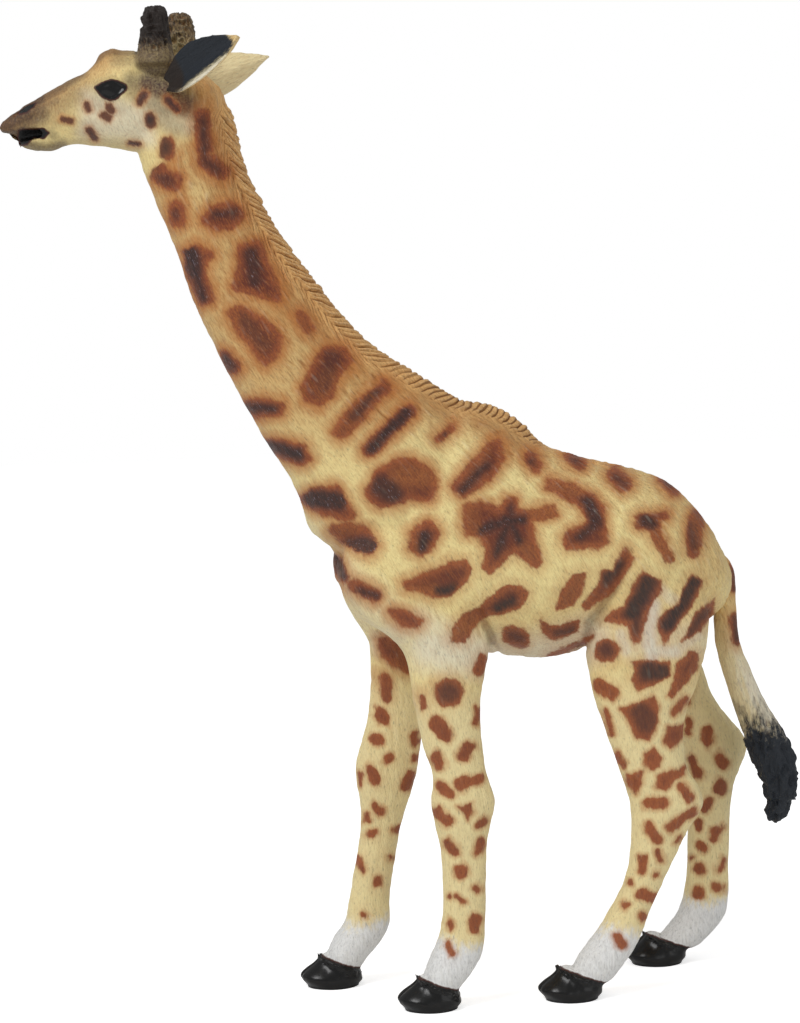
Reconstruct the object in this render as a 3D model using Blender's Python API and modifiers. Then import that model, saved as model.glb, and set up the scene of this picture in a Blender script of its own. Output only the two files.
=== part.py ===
"""Walking giraffe figure: soft-plastic mouldings pinned and glued into one animal.

The trunk is two cored halves. The neck, the head, both ears, the four legs and the tail
are separate mouldings, each with a keyed peg that seats in a socket of its neighbour.
The animal stands on its soles and faces -Y, and its left side is +X.
"""

import math

import bmesh
import bpy
from mathutils import Matrix, Vector

# Trunk, in metres
BELLY_HEIGHT = 0.0570
BODY_LENGTH = 0.0680
BODY_DEPTH = 0.0360
BODY_WIDTH = 0.0310

# Neck, from its root in the shoulders to the poll
NECK_REACH = 0.0400
NECK_RISE = 0.0620
NECK_DEPTH = 0.0200
NECK_WIDTH = 0.0150
MANE_HEIGHT = 0.0020
MANE_WIDTH = 0.0030

# Head, from the poll to the muzzle
HEAD_LENGTH = 0.0320
HEAD_DEPTH = 0.0165
HEAD_WIDTH = 0.0150
HEAD_TURN = math.radians(-22.0)
OSSICONE_LENGTH = 0.0098
OSSICONE_DIAMETER = 0.0042
MOUTH_OPENING = 0.0021
NOSTRIL_DIAMETER = 0.0016
EYE_LENGTH = 0.0056
EAR_LENGTH = 0.0142
EAR_WIDTH = 0.0066
EAR_THICKNESS = 0.0013
EAR_CUP = 0.0014

# Legs
LEG_DEPTH = 0.0100
LEG_WIDTH = 0.0082
STANCE_WIDTH = 0.0220
HOOF_LENGTH = 0.0112
HOOF_WIDTH = 0.0098
HOOF_HEIGHT = 0.0062

# Tail
TAIL_DROP = 0.0470
TAIL_SWING = 0.0100
TAIL_THICKNESS = 0.0052

# Seams, pegs and the cored trunk
SEAM_GAP = 0.0003
PEG_CLEARANCE = 0.0003
PEG_CORNER = 0.0009
PEG_CORNER_SHARE = 0.30
PEG_ROOT = 0.0030
NECK_PEG = (0.0080, 0.0110, 0.0080)
HEAD_PEG = (0.0050, 0.0064, 0.0060)
LEG_PEG = (0.0042, 0.0056, 0.0065)
EAR_PEG = (0.0016, 0.0018, 0.0034)
PIN_DIAMETER = 0.0024
PIN_LENGTH = 0.0030
POCKET_CORNER = 0.0022
CUT_OVERRUN = 0.0040

# Fineness of the sculpted skin
SKIN_VOXEL = 0.0007
SKIN_SMOOTHING = 7
SKIN_SOFTNESS = 0.5
SHARP_ANGLE = math.radians(40)
SKIN_TRIANGLES = 8600
RING_POINTS = 24
ROUND_POINTS = 16
STATION_STEPS = 3

# Trunk rings from breast to rump: along, up, depth, width, peak
TRUNK_SHARES = (
    (0.00, 0.49, 0.22, 0.20, 0.00),
    (0.03, 0.52, 0.50, 0.45, 0.05),
    (0.11, 0.61, 0.86, 0.74, 0.15),
    (0.24, 0.65, 1.18, 0.86, 0.35),
    (0.36, 0.61, 1.12, 0.93, 0.35),
    (0.45, 0.54, 1.03, 0.98, 0.22),
    (0.54, 0.50, 0.99, 1.00, 0.12),
    (0.64, 0.49, 0.91, 0.98, 0.08),
    (0.73, 0.49, 0.83, 0.94, 0.06),
    (0.82, 0.46, 0.74, 0.86, 0.05),
    (0.91, 0.38, 0.54, 0.68, 0.00),
    (0.97, 0.33, 0.30, 0.42, 0.00),
    (1.00, 0.32, 0.10, 0.14, 0.00),
)
TRUNK_LEAN = math.radians(8.0)

# Neck rings from root to poll: forward, up, depth, width, peak
NECK_ROOT_SHARE = (0.203, 0.86)
NECK_SHARES = (
    (-0.06, -0.150, 0.90, 0.90, 0.10),
    (0.04, -0.070, 1.36, 1.45, 0.15),
    (0.158, 0.035, 1.62, 1.44, 0.20),
    (0.285, 0.132, 1.34, 1.28, 0.20),
    (0.430, 0.232, 1.13, 1.14, 0.18),
    (0.565, 0.350, 0.99, 1.02, 0.15),
    (0.675, 0.470, 0.90, 0.94, 0.12),
    (0.770, 0.580, 0.81, 0.88, 0.10),
    (0.850, 0.700, 0.72, 0.83, 0.08),
    (0.930, 0.820, 0.69, 0.80, 0.05),
    (0.980, 0.930, 0.72, 0.80, 0.00),
    (0.990, 1.000, 0.70, 0.78, 0.00),
    (1.000, 1.060, 0.56, 0.62, 0.00),
)
WITHERS_SHARES = ((0.530, 0.960), (0.485, 1.010), (0.440, 1.095), (0.390, 1.160), (0.335, 1.185))
POLL_SHARE = (0.970, 1.00)
NECK_SEAM_SHARE = (0.415, 0.237)
HEAD_SEAM_SHARE = (0.972, 0.975)
HEAD_SEAM_TILT = math.radians(27.0)

# Head rings from muzzle to nape: forward, up, depth, width, peak
HEAD_SHARES = (
    (0.995, 0.045, 0.14, 0.26, 0.00),
    (0.945, 0.045, 0.31, 0.42, 0.00),
    (0.850, 0.050, 0.46, 0.52, 0.05),
    (0.725, 0.095, 0.61, 0.55, 0.15),
    (0.610, 0.170, 0.67, 0.60, 0.15),
    (0.500, 0.200, 0.77, 0.72, 0.10),
    (0.395, 0.270, 0.97, 0.90, 0.05),
    (0.260, 0.250, 1.03, 0.98, 0.05),
    (0.130, 0.23, 0.96, 0.97, 0.10),
    (0.000, 0.245, 0.80, 0.90, 0.10),
    (-0.130, 0.23, 0.52, 0.70, 0.05),
    (-0.210, 0.21, 0.22, 0.36, 0.00),
)
EYE_SHARES = (0.405, 0.335, 0.340)
EYE_SIZE_SHARES = (0.40, 0.50, 0.36)
NOSTRIL_SHARES = (0.150, 0.875, 0.200)
MOUTH_CORNER_SHARES = (0.745, -0.030)
MOUTH_FRONT_SHARE = 1.15
MOUTH_CORNER_OPENING_SHARE = 0.20
MOUTH_DROP_SHARE = 0.33
OSSICONE_SIDE_SHARE = 0.310
OSSICONE_FOOT_SHARE = 0.560
OSSICONE_FORWARD_SHARES = {1: 0.090, -1: 0.040}
OSSICONE_SHARES = ((0.00, 1.80), (0.25, 1.40), (0.50, 1.18), (0.75, 1.06), (0.92, 0.96), (0.99, 0.60))

# Ear leaf in the head's frame, and its half width from root to tip
EAR_ROOT_SHARES = (0.430, -0.035, 0.400)
EAR_RUN_SHARES = {1: (0.36, -0.82, 0.36), -1: (0.45, -0.77, 0.38)}
EAR_FACING_SHARES = (1.0, 0.35, 0.25)
EAR_OUTLINE_SHARES = (0.62, 0.90, 1.00, 0.98, 0.82, 0.52, 0.10)
EAR_COLUMNS = 5

# Leg rings from the top down: along, up, depth, width, out
LEFT_FORELEG_SHARES = (
    (-0.090, 1.500, 1.20, 0.70, 0.50),
    (-0.100, 1.420, 1.75, 1.10, 0.62),
    (-0.110, 1.300, 2.05, 1.32, 0.74),
    (-0.060, 1.170, 2.00, 1.32, 0.82),
    (0.000, 1.090, 1.62, 1.18, 0.88),
    (0.010, 1.030, 1.37, 1.08, 0.92),
    (0.005, 0.910, 1.15, 0.95, 0.96),
    (0.015, 0.790, 1.04, 0.85, 0.98),
    (0.035, 0.690, 0.92, 0.80, 1.00),
    (0.042, 0.615, 1.12, 0.92, 1.00),
    (0.040, 0.540, 0.96, 0.84, 1.00),
    (0.040, 0.465, 0.80, 0.70, 1.00),
    (0.038, 0.315, 0.76, 0.66, 1.00),
    (0.030, 0.226, 0.79, 0.74, 1.00),
    (0.008, 0.154, 0.90, 0.90, 1.00),
    (-0.030, 0.095, 0.92, 0.98, 1.00),
    (-0.060, 0.045, 0.80, 0.90, 1.00),
)
RIGHT_FORELEG_SHARES = (
    (-0.070, 1.500, 1.20, 0.70, 0.50),
    (-0.080, 1.420, 1.75, 1.10, 0.62),
    (-0.085, 1.300, 2.02, 1.32, 0.74),
    (-0.060, 1.170, 1.95, 1.32, 0.82),
    (-0.040, 1.060, 1.45, 1.15, 0.90),
    (-0.060, 0.930, 1.16, 0.97, 0.96),
    (-0.090, 0.800, 1.04, 0.86, 0.98),
    (-0.115, 0.690, 1.14, 0.90, 1.00),
    (-0.122, 0.630, 1.06, 0.90, 1.00),
    (-0.130, 0.560, 0.87, 0.78, 1.00),
    (-0.145, 0.470, 0.72, 0.68, 1.00),
    (-0.163, 0.380, 0.71, 0.66, 1.00),
    (-0.185, 0.265, 0.74, 0.70, 1.00),
    (-0.193, 0.195, 0.83, 0.82, 1.00),
    (-0.222, 0.145, 0.94, 0.92, 1.00),
    (-0.262, 0.095, 0.92, 0.98, 1.00),
    (-0.290, 0.045, 0.80, 0.90, 1.00),
)
LEFT_HINDLEG_SHARES = (
    (0.000, 1.520, 0.90, 0.60, 0.45),
    (0.000, 1.450, 1.45, 0.95, 0.58),
    (-0.005, 1.330, 2.05, 1.25, 0.70),
    (-0.005, 1.190, 2.26, 1.38, 0.80),
    (0.005, 1.070, 2.20, 1.32, 0.88),
    (-0.008, 0.920, 1.84, 1.15, 0.94),
    (-0.015, 0.850, 1.54, 1.05, 0.96),
    (-0.008, 0.765, 1.30, 0.95, 0.98),
    (0.008, 0.685, 1.19, 0.90, 1.00),
    (0.036, 0.610, 1.23, 0.90, 1.00),
    (0.047, 0.570, 1.25, 0.92, 1.00),
    (0.037, 0.510, 1.12, 0.88, 1.00),
    (0.010, 0.430, 0.88, 0.75, 1.00),
    (-0.014, 0.370, 0.75, 0.68, 1.00),
    (-0.040, 0.312, 0.71, 0.66, 1.00),
    (-0.073, 0.255, 0.74, 0.70, 1.00),
    (-0.105, 0.195, 0.82, 0.80, 1.00),
    (-0.135, 0.150, 0.90, 0.90, 1.00),
    (-0.172, 0.098, 0.90, 0.98, 1.00),
    (-0.205, 0.045, 0.80, 0.90, 1.00),
)
RIGHT_HINDLEG_SHARES = (
    (0.000, 1.520, 0.90, 0.60, 0.45),
    (0.000, 1.450, 1.45, 0.95, 0.58),
    (-0.005, 1.330, 2.05, 1.25, 0.70),
    (0.010, 1.190, 2.22, 1.38, 0.80),
    (0.045, 1.070, 2.10, 1.32, 0.88),
    (0.130, 0.935, 1.72, 1.15, 0.94),
    (0.195, 0.825, 1.42, 1.00, 0.96),
    (0.300, 0.712, 1.24, 0.92, 0.98),
    (0.318, 0.660, 1.18, 0.90, 1.00),
    (0.302, 0.580, 0.96, 0.84, 1.00),
    (0.295, 0.505, 0.82, 0.75, 1.00),
    (0.290, 0.385, 0.77, 0.68, 1.00),
    (0.283, 0.250, 0.79, 0.70, 1.00),
    (0.270, 0.172, 0.88, 0.82, 1.00),
    (0.250, 0.130, 0.92, 0.90, 1.00),
    (0.215, 0.090, 0.94, 0.98, 1.00),
    (0.178, 0.045, 0.84, 0.90, 1.00),
)
FORELEG_ROOT_SHARE = 0.220
HINDLEG_ROOT_SHARE = 0.735
LEGS = {
    "foreleg_left": (LEFT_FORELEG_SHARES, FORELEG_ROOT_SHARE, 1, -0.075),
    "foreleg_right": (RIGHT_FORELEG_SHARES, FORELEG_ROOT_SHARE, -1, -0.310),
    "hindleg_left": (LEFT_HINDLEG_SHARES, HINDLEG_ROOT_SHARE, 1, -0.262),
    "hindleg_right": (RIGHT_HINDLEG_SHARES, HINDLEG_ROOT_SHARE, -1, 0.108),
}

# Hoof rings from below the sole to the coronet: up, length, width, back, slope to the heel
HOOF_SHARES = (
    (-0.25, 0.90, 0.90, 0.02, 0.00),
    (0.00, 0.94, 0.92, 0.01, 0.00),
    (0.20, 1.00, 1.00, 0.00, 0.05),
    (0.38, 0.95, 0.98, 0.03, 0.20),
    (0.52, 0.85, 0.93, 0.08, 0.36),
    (0.64, 0.75, 0.86, 0.11, 0.46),
    (0.70, 0.55, 0.62, 0.15, 0.46),
)

# Two places under the belly, along and up, that each leg's slanting seam passes through
LEG_SEAM_SHARES = {
    "foreleg": ((0.030, 0.100), (0.360, -0.010)),
    "hindleg": ((0.500, -0.020), (0.910, 0.115)),
}
LEG_SEAM_INNER_SHARE = 0.200
LEG_PEG_SHARES = {"foreleg": (0.010, 0.90), "hindleg": (0.000, 0.88)}

# Tail rings from the root inside the rump to the tip of the tuft: back, down, thickness
TAIL_ROOT_SHARE = (0.985, 0.45)
TAIL_SHARES = (
    (-0.62, -0.035, 0.62),
    (-0.35, -0.025, 0.64),
    (-0.08, 0.005, 0.66),
    (0.04, 0.050, 0.74),
    (0.05, 0.110, 0.84),
    (0.03, 0.200, 0.90),
    (0.06, 0.320, 0.94),
    (0.22, 0.430, 1.06),
    (0.42, 0.545, 1.16),
    (0.68, 0.670, 1.44),
    (0.90, 0.785, 1.48),
    (0.98, 0.870, 1.22),
    (0.90, 0.955, 0.80),
    (0.85, 1.000, 0.24),
)

# Coring pockets in the joint face of both trunk halves: along, up, length, height, reach
POCKET_SHARES = (
    (0.160, 0.66, 0.165, 0.42, 0.44),
    (0.405, 0.47, 0.185, 0.48, 0.60),
    (0.640, 0.54, 0.155, 0.32, 0.52),
)
PIN_SHARES = ((0.280, 0.62), (0.530, 0.58), (0.800, 0.45))

COATS = {
    "body_left": ((0.80, 0.60, 0.33), 0.55),
    "body_right": ((0.78, 0.58, 0.31), 0.55),
    "neck": ((0.76, 0.52, 0.25), 0.55),
    "head": ((0.74, 0.54, 0.30), 0.50),
    "ear_left": ((0.78, 0.66, 0.42), 0.60),
    "ear_right": ((0.76, 0.64, 0.40), 0.60),
    "foreleg_left": ((0.82, 0.68, 0.40), 0.55),
    "foreleg_right": ((0.80, 0.66, 0.38), 0.55),
    "hindleg_left": ((0.82, 0.67, 0.39), 0.55),
    "hindleg_right": ((0.80, 0.65, 0.37), 0.55),
    "tail": ((0.42, 0.34, 0.24), 0.60),
}


def smooth_rows(rows, steps=STATION_STEPS):
    """Extra rows between the given ones, on a curve through all of them."""
    fine = []
    for index in range(len(rows) - 1):
        before = rows[max(index - 1, 0)]
        start, end = rows[index], rows[index + 1]
        after = rows[min(index + 2, len(rows) - 1)]
        for step in range(steps):
            t = step / steps
            row = []
            for a, b, c, d in zip(before, start, end, after):
                bend = 2 * a - 5 * b + 4 * c - d
                swing = 3 * b - a - 3 * c + d
                row.append(b + 0.5 * t * (c - a + t * (bend + t * swing)))
            fine.append(tuple(row))
    fine.append(tuple(rows[-1]))
    return fine


def face_outwards(shape):
    shape.normal_update()
    bmesh.ops.recalc_face_normals(shape, faces=shape.faces)


def loft(stations, points=RING_POINTS):
    """A closed tube through rings, each a centre, a depth arm, a width arm and a peak."""
    shape = bmesh.new()
    rings = []
    for centre, depth, width, peak in stations:
        ring = []
        for point in range(points):
            turn = math.tau * point / points
            narrowing = 1 - peak * math.cos(turn)
            ring.append(shape.verts.new(centre + depth * math.cos(turn) + width * math.sin(turn) * narrowing))
        rings.append(ring)
    for lower, upper in zip(rings, rings[1:]):
        for point in range(points):
            beside = (point + 1) % points
            shape.faces.new((lower[point], lower[beside], upper[beside], upper[point]))
    shape.faces.new(rings[0])
    shape.faces.new(rings[-1])
    face_outwards(shape)
    return shape


def square_arms(centres):
    """The direction of each ring's depth, square to the line through the centres."""
    arms = []
    last = len(centres) - 1
    for index in range(len(centres)):
        run = centres[min(index + 1, last)] - centres[max(index - 1, 0)]
        arms.append(Vector((0, run.z, -run.y)).normalized())
    return arms


def trunk_point(along, up):
    return Vector((0, along * BODY_LENGTH, BELLY_HEIGHT + up * BODY_DEPTH))


def neck_point(forward, up):
    return trunk_point(*NECK_ROOT_SHARE) + Vector((0, -forward * NECK_REACH, up * NECK_RISE))


def head_frame():
    """The head's own axes: X to its left, -Y forward, Z up, origin at the poll."""
    return Matrix.Translation(neck_point(*POLL_SHARE)) @ Matrix.Rotation(HEAD_TURN, 4, "Z")


def head_point(side, forward, up):
    return Vector((side * HEAD_WIDTH, -forward * HEAD_LENGTH, up * HEAD_DEPTH))


def trunk_shape():
    arm = Vector((0, math.sin(TRUNK_LEAN), math.cos(TRUNK_LEAN)))
    stations = []
    for along, up, depth, width, peak in smooth_rows(TRUNK_SHARES):
        half_depth = arm * (depth * BODY_DEPTH / 2)
        half_width = Vector((width * BODY_WIDTH / 2, 0, 0))
        stations.append((trunk_point(along, up), half_depth, half_width, peak))
    return loft(stations)


def neck_shape():
    rows = smooth_rows(NECK_SHARES)
    centres = [neck_point(row[0], row[1]) for row in rows]
    stations = []
    for row, centre, arm in zip(rows, centres, square_arms(centres)):
        half_width = Vector((row[3] * NECK_WIDTH / 2, 0, 0))
        stations.append((centre, arm * (row[2] * NECK_DEPTH / 2), half_width, row[4]))
    return loft(stations)


def mane_shape():
    """A low ridge from the back of the withers up the nape to behind the ears."""
    places = [trunk_point(*share) for share in WITHERS_SHARES]
    centres = [neck_point(row[0], row[1]) for row in NECK_SHARES]
    for row, centre, arm in zip(NECK_SHARES, centres, square_arms(centres)):
        if row[1] > 0:
            places.append(centre + arm * (row[2] * NECK_DEPTH / 2))
    crests = [Vector((0, *row)) for row in smooth_rows([(place.y, place.z) for place in places])]
    half_width = Vector((MANE_WIDTH / 2, 0, 0))
    stations = []
    for crest, arm in zip(crests, square_arms(crests)):
        stations.append((crest, arm * MANE_HEIGHT, half_width, 0))
    return loft(stations)


def head_shape():
    stations = []
    for forward, up, depth, width, peak in smooth_rows(HEAD_SHARES):
        half_depth = Vector((0, 0, depth * HEAD_DEPTH / 2))
        half_width = Vector((width * HEAD_WIDTH / 2, 0, 0))
        stations.append((head_point(0, forward, up), half_depth, half_width, peak))
    shape = loft(stations)
    shape.transform(head_frame())
    return shape


def ossicone_shape(side):
    forward = OSSICONE_FORWARD_SHARES[side]
    foot = head_point(side * OSSICONE_SIDE_SHARE, forward, OSSICONE_FOOT_SHARE)
    stations = []
    for up, girth in smooth_rows(OSSICONE_SHARES):
        radius = girth * OSSICONE_DIAMETER / 2
        centre = foot + Vector((0, 0, up * OSSICONE_LENGTH))
        stations.append((centre, Vector((0, radius, 0)), Vector((radius, 0, 0)), 0))
    shape = loft(stations)
    shape.transform(head_frame())
    return shape


def eye_shape(side):
    place = head_point(side * EYE_SHARES[0], EYE_SHARES[1], EYE_SHARES[2])
    radii = Vector(EYE_SIZE_SHARES) * EYE_LENGTH
    shape = bmesh.new()
    bmesh.ops.create_uvsphere(shape, u_segments=ROUND_POINTS, v_segments=ROUND_POINTS // 2, radius=1)
    shape.transform(head_frame() @ Matrix.Translation(place) @ Matrix.Diagonal(radii).to_4x4())
    return shape


def leg_centre(name, along, up, out):
    rows, root, side, hoof = LEGS[name]
    heel = Vector((side * out * STANCE_WIDTH / 2, root * BODY_LENGTH, 0))
    return heel + Vector((0, along * BELLY_HEIGHT, up * BELLY_HEIGHT))


def leg_stations(name):
    stations = []
    for along, up, depth, width, out in smooth_rows(LEGS[name][0]):
        half_depth = Vector((0, depth * LEG_DEPTH / 2, 0))
        half_width = Vector((width * LEG_WIDTH / 2, 0, 0))
        stations.append((leg_centre(name, along, up, out), half_depth, half_width, 0))
    return stations


def hoof_stations(name):
    """The rings of the hoof, with its coronet set back from the toe."""
    middle = leg_centre(name, LEGS[name][3], 0, 1)
    stations = []
    for up, length, width, back, slope in HOOF_SHARES:
        centre = middle + Vector((0, back * HOOF_LENGTH, up * HOOF_HEIGHT))
        half_length = Vector((0, 1, -slope)) * (length * HOOF_LENGTH / 2)
        half_width = Vector((width * HOOF_WIDTH / 2, 0, 0))
        stations.append((centre, half_length, half_width, 0))
    return stations


def leg_span(name):
    """The foremost and the rearmost place of a leg and its hoof."""
    stations = leg_stations(name) + hoof_stations(name)
    front = min(centre.y - depth.y for centre, depth, width, peak in stations)
    back = max(centre.y + depth.y for centre, depth, width, peak in stations)
    return front, back


def tail_shape(grow=0.0):
    root = trunk_point(*TAIL_ROOT_SHARE)
    rows = smooth_rows(TAIL_SHARES, 2)
    centres = [root + Vector((0, row[0] * TAIL_SWING, -row[1] * TAIL_DROP)) for row in rows]
    stations = []
    for row, centre, arm in zip(rows, centres, square_arms(centres)):
        radius = row[2] * TAIL_THICKNESS / 2 + grow
        stations.append((centre, arm * radius, Vector((radius, 0, 0)), 0))
    if grow:
        run = (stations[0][0] - stations[1][0]).normalized() * grow
        stations[0] = (stations[0][0] + run, *stations[0][1:])
    return loft(stations, ROUND_POINTS)


def add_object(name, shape, collection):
    mesh = bpy.data.meshes.new(name)
    shape.to_mesh(mesh)
    shape.free()
    added = bpy.data.objects.new(name, mesh)
    collection.objects.link(added)
    return added


def joined(shapes):
    """All the shapes in one mesh, still overlapping."""
    whole = bmesh.new()
    for shape in shapes:
        piece = bpy.data.meshes.new("piece")
        shape.to_mesh(piece)
        shape.free()
        whole.from_mesh(piece)
        bpy.data.meshes.remove(piece)
    return whole


def evaluated_mesh(source, name):
    graph = bpy.context.evaluated_depsgraph_get()
    graph.update()
    return bpy.data.meshes.new_from_object(source.evaluated_get(graph), depsgraph=graph)


def sculpted_skin(collection):
    """One smooth skin over trunk, neck, mane, head and legs, cut flat at the soles."""
    shapes = [trunk_shape(), neck_shape(), mane_shape(), head_shape()]
    for side in (1, -1):
        shapes += [ossicone_shape(side), eye_shape(side)]
    for name in LEGS:
        shapes += [loft(leg_stations(name)), loft(hoof_stations(name))]
    source = add_object("skin", joined(shapes), collection)
    remesh = source.modifiers.new("fuse", "REMESH")
    remesh.mode = "VOXEL"
    remesh.voxel_size = SKIN_VOXEL
    soften = source.modifiers.new("soften", "SMOOTH")
    soften.factor = SKIN_SOFTNESS
    soften.iterations = SKIN_SMOOTHING
    fused = evaluated_mesh(source, "fused")
    bpy.data.objects.remove(source)
    return cut_flat(thinned(fused, collection))


def thinned(mesh, collection):
    """The mesh with only as many triangles as the solids can hold."""
    quads = len(mesh.polygons)
    source = bpy.data.objects.new("thin", mesh)
    collection.objects.link(source)
    thin = source.modifiers.new("thin", "DECIMATE")
    thin.ratio = min(1.0, SKIN_TRIANGLES / (2 * quads))
    thin.use_collapse_triangulate = True
    result = evaluated_mesh(source, "thin")
    bpy.data.objects.remove(source)
    return result


def cut_flat(mesh):
    """The soles cut level with the ground."""
    shape = bmesh.new()
    shape.from_mesh(mesh)
    everything = shape.verts[:] + shape.edges[:] + shape.faces[:]
    cut = bmesh.ops.bisect_plane(
        shape, geom=everything, plane_co=(0, 0, 0), plane_no=(0, 0, -1), clear_outer=True
    )
    rims = [item for item in cut["geom_cut"] if isinstance(item, bmesh.types.BMEdge)]
    soles = bmesh.ops.edgeloop_fill(shape, edges=rims)
    bmesh.ops.triangulate(shape, faces=soles["faces"])
    face_outwards(shape)
    shape.to_mesh(mesh)
    shape.free()
    return mesh


def rounded_block(size, corner, upright_only=False):
    """A block around the origin with its edges rounded."""
    shape = bmesh.new()
    bmesh.ops.create_cube(shape, size=1)
    shape.transform(Matrix.Diagonal(Vector(size)).to_4x4())
    edges = shape.edges[:]
    if upright_only:
        edges = [edge for edge in edges if abs((edge.verts[0].co - edge.verts[1].co).normalized().z) > 0.5]
    bmesh.ops.bevel(shape, geom=edges, offset=corner, segments=2, profile=0.5, affect="EDGES")
    return shape


def peg_shape(frame, size, grow=0.0):
    """A keyed peg along +Z of its frame, with its root sunk in the piece that carries it."""
    across, along, length = size
    total = length + PEG_ROOT + grow
    corner = min(PEG_CORNER, PEG_CORNER_SHARE * across) + grow
    shape = rounded_block((across + 2 * grow, along + 2 * grow, total), corner, True)
    shape.transform(frame @ Matrix.Translation((0, 0, total / 2 - PEG_ROOT)))
    return shape


def aimed_frame(place, direction):
    """Axes at a place whose Z follows the direction, and whose X stays level."""
    up = direction.normalized()
    level = Vector((0, 1, 0)) if abs(up.x) > abs(up.z) else Vector((1, 0, 0))
    level = (level - up * level.dot(up)).normalized()
    other = up.cross(level)
    turn = Matrix((level, other, up)).transposed().to_4x4()
    return Matrix.Translation(place) @ turn


def neck_axis(share_point):
    """The way the neck runs upward at the ring nearest to a place on it."""
    rows = [neck_point(row[0], row[1]) for row in NECK_SHARES]
    place = neck_point(*share_point)
    nearest = min(range(1, len(rows) - 1), key=lambda index: (rows[index] - place).length)
    return (rows[nearest + 1] - rows[nearest - 1]).normalized()


def head_seam_axis():
    return Vector((0, -math.sin(HEAD_SEAM_TILT), math.cos(HEAD_SEAM_TILT)))


def side_block(place, axis, offset=0.0):
    """A block that fills everything beyond a plane, along its axis."""
    size = 4 * (BELLY_HEIGHT + BODY_LENGTH)
    shape = bmesh.new()
    bmesh.ops.create_cube(shape, size=size)
    frame = aimed_frame(place + axis * offset, axis)
    shape.transform(frame @ Matrix.Translation((0, 0, size / 2)))
    return shape


def leg_seam_height(name, along):
    """The height of a leg's seam at a place along the body."""
    front, back = [trunk_point(*share) for share in LEG_SEAM_SHARES[name.split("_")[0]]]
    return front.z + (back.z - front.z) * (along - front.y) / (back.y - front.y)


def leg_block(name, grow=0.0):
    """The space that belongs to one leg, below its slanting seam with the trunk."""
    kind, hand = name.split("_")
    side = LEGS[name][2]
    fore_front, fore_back = leg_span("foreleg_" + hand)
    hind_front, hind_back = leg_span("hindleg_" + hand)
    between = (fore_back + hind_front) / 2
    near, far = fore_front - CUT_OVERRUN, between
    if kind == "hindleg":
        near, far = between, hind_back + CUT_OVERRUN
    inner = LEG_SEAM_INNER_SHARE * STANCE_WIDTH / 2 - grow
    shape = bmesh.new()
    bmesh.ops.create_cube(shape, size=2)
    for corner in shape.verts:
        high = corner.co.z > 0
        corner.co.x = side * (BODY_WIDTH if corner.co.x > 0 else inner)
        corner.co.y = far + grow if corner.co.y > 0 else near - grow
        corner.co.z = leg_seam_height(name, corner.co.y) + grow if high else -CUT_OVERRUN
    face_outwards(shape)
    return shape


def leg_peg_frame(name):
    along, out = LEG_PEG_SHARES[name.split("_")[0]]
    place = leg_centre(name, along, 0, out)
    place.z = leg_seam_height(name, place.y)
    return Matrix.Translation(place)


def ear_axes(side):
    """The ear's root, its run to the tip, its breadth and the way its cup faces."""
    out, forward, up = EAR_RUN_SHARES[side]
    run = Vector((side * out, -forward, up)).normalized()
    out, forward, up = EAR_FACING_SHARES
    facing = Vector((side * out, -forward, up))
    facing = (facing - run * facing.dot(run)).normalized()
    breadth = run.cross(facing)
    root = head_point(side * EAR_ROOT_SHARES[0], EAR_ROOT_SHARES[1], EAR_ROOT_SHARES[2])
    return root, run, breadth, facing


def ear_leaf(side, grow=0.0):
    """The open leaf of an ear, cupped towards the side it faces."""
    root, run, breadth, facing = ear_axes(side)
    shape = bmesh.new()
    rows = []
    last = len(EAR_OUTLINE_SHARES) - 1
    for index, girth in enumerate(EAR_OUTLINE_SHARES):
        along = index / last * EAR_LENGTH + (grow if index == last else 0)
        if index == 0:
            along -= grow
        row = []
        for column in range(EAR_COLUMNS):
            across = 2 * column / (EAR_COLUMNS - 1) - 1
            half_width = girth * EAR_WIDTH / 2 + grow
            lift = EAR_CUP * girth * across * across
            row.append(shape.verts.new(root + run * along + breadth * (across * half_width) + facing * lift))
        rows.append(row)
    for lower, upper in zip(rows, rows[1:]):
        for column in range(EAR_COLUMNS - 1):
            shape.faces.new((lower[column], lower[column + 1], upper[column + 1], upper[column]))
    return shape


def ear_solid(name, side, collection, grow=0.0):
    leaf = add_object(name + "_leaf", ear_leaf(side, grow), collection)
    shell = leaf.modifiers.new("shell", "SOLIDIFY")
    shell.thickness = EAR_THICKNESS + 2 * grow
    shell.offset = 0
    soften = leaf.modifiers.new("soften", "SUBSURF")
    soften.levels = soften.render_levels = 1
    mesh = evaluated_mesh(leaf, name)
    bpy.data.objects.remove(leaf)
    shape = bmesh.new()
    shape.from_mesh(mesh)
    face_outwards(shape)
    shape.transform(head_frame())
    return shape


def ear_peg(side, grow=0.0):
    root, run, breadth, facing = ear_axes(side)
    frame = aimed_frame(root, -run - facing)
    shape = peg_shape(frame, EAR_PEG, grow)
    shape.transform(head_frame())
    return shape


def mouth_shape():
    """A wedge that parts the lips, from the front of the muzzle back to the corner."""
    forward, up = MOUTH_CORNER_SHARES
    corner = head_point(0, forward, up)
    lips = head_point(0, MOUTH_FRONT_SHARE, up)
    lips.z -= MOUTH_DROP_SHARE * MOUTH_OPENING
    shape = bmesh.new()
    bmesh.ops.create_cube(shape, size=1)
    for point in shape.verts:
        end = lips if point.co.y < 0 else corner
        opening = MOUTH_OPENING * (1 if point.co.y < 0 else MOUTH_CORNER_OPENING_SHARE)
        point.co = Vector((point.co.x * HEAD_WIDTH, end.y, end.z + point.co.z * opening))
    shape.transform(head_frame())
    return shape


def nostril_shape(side):
    place = head_point(side * NOSTRIL_SHARES[0], NOSTRIL_SHARES[1], NOSTRIL_SHARES[2])
    shape = bmesh.new()
    bmesh.ops.create_icosphere(shape, subdivisions=1, radius=NOSTRIL_DIAMETER / 2)
    shape.transform(head_frame() @ Matrix.Translation(place))
    return shape


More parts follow.
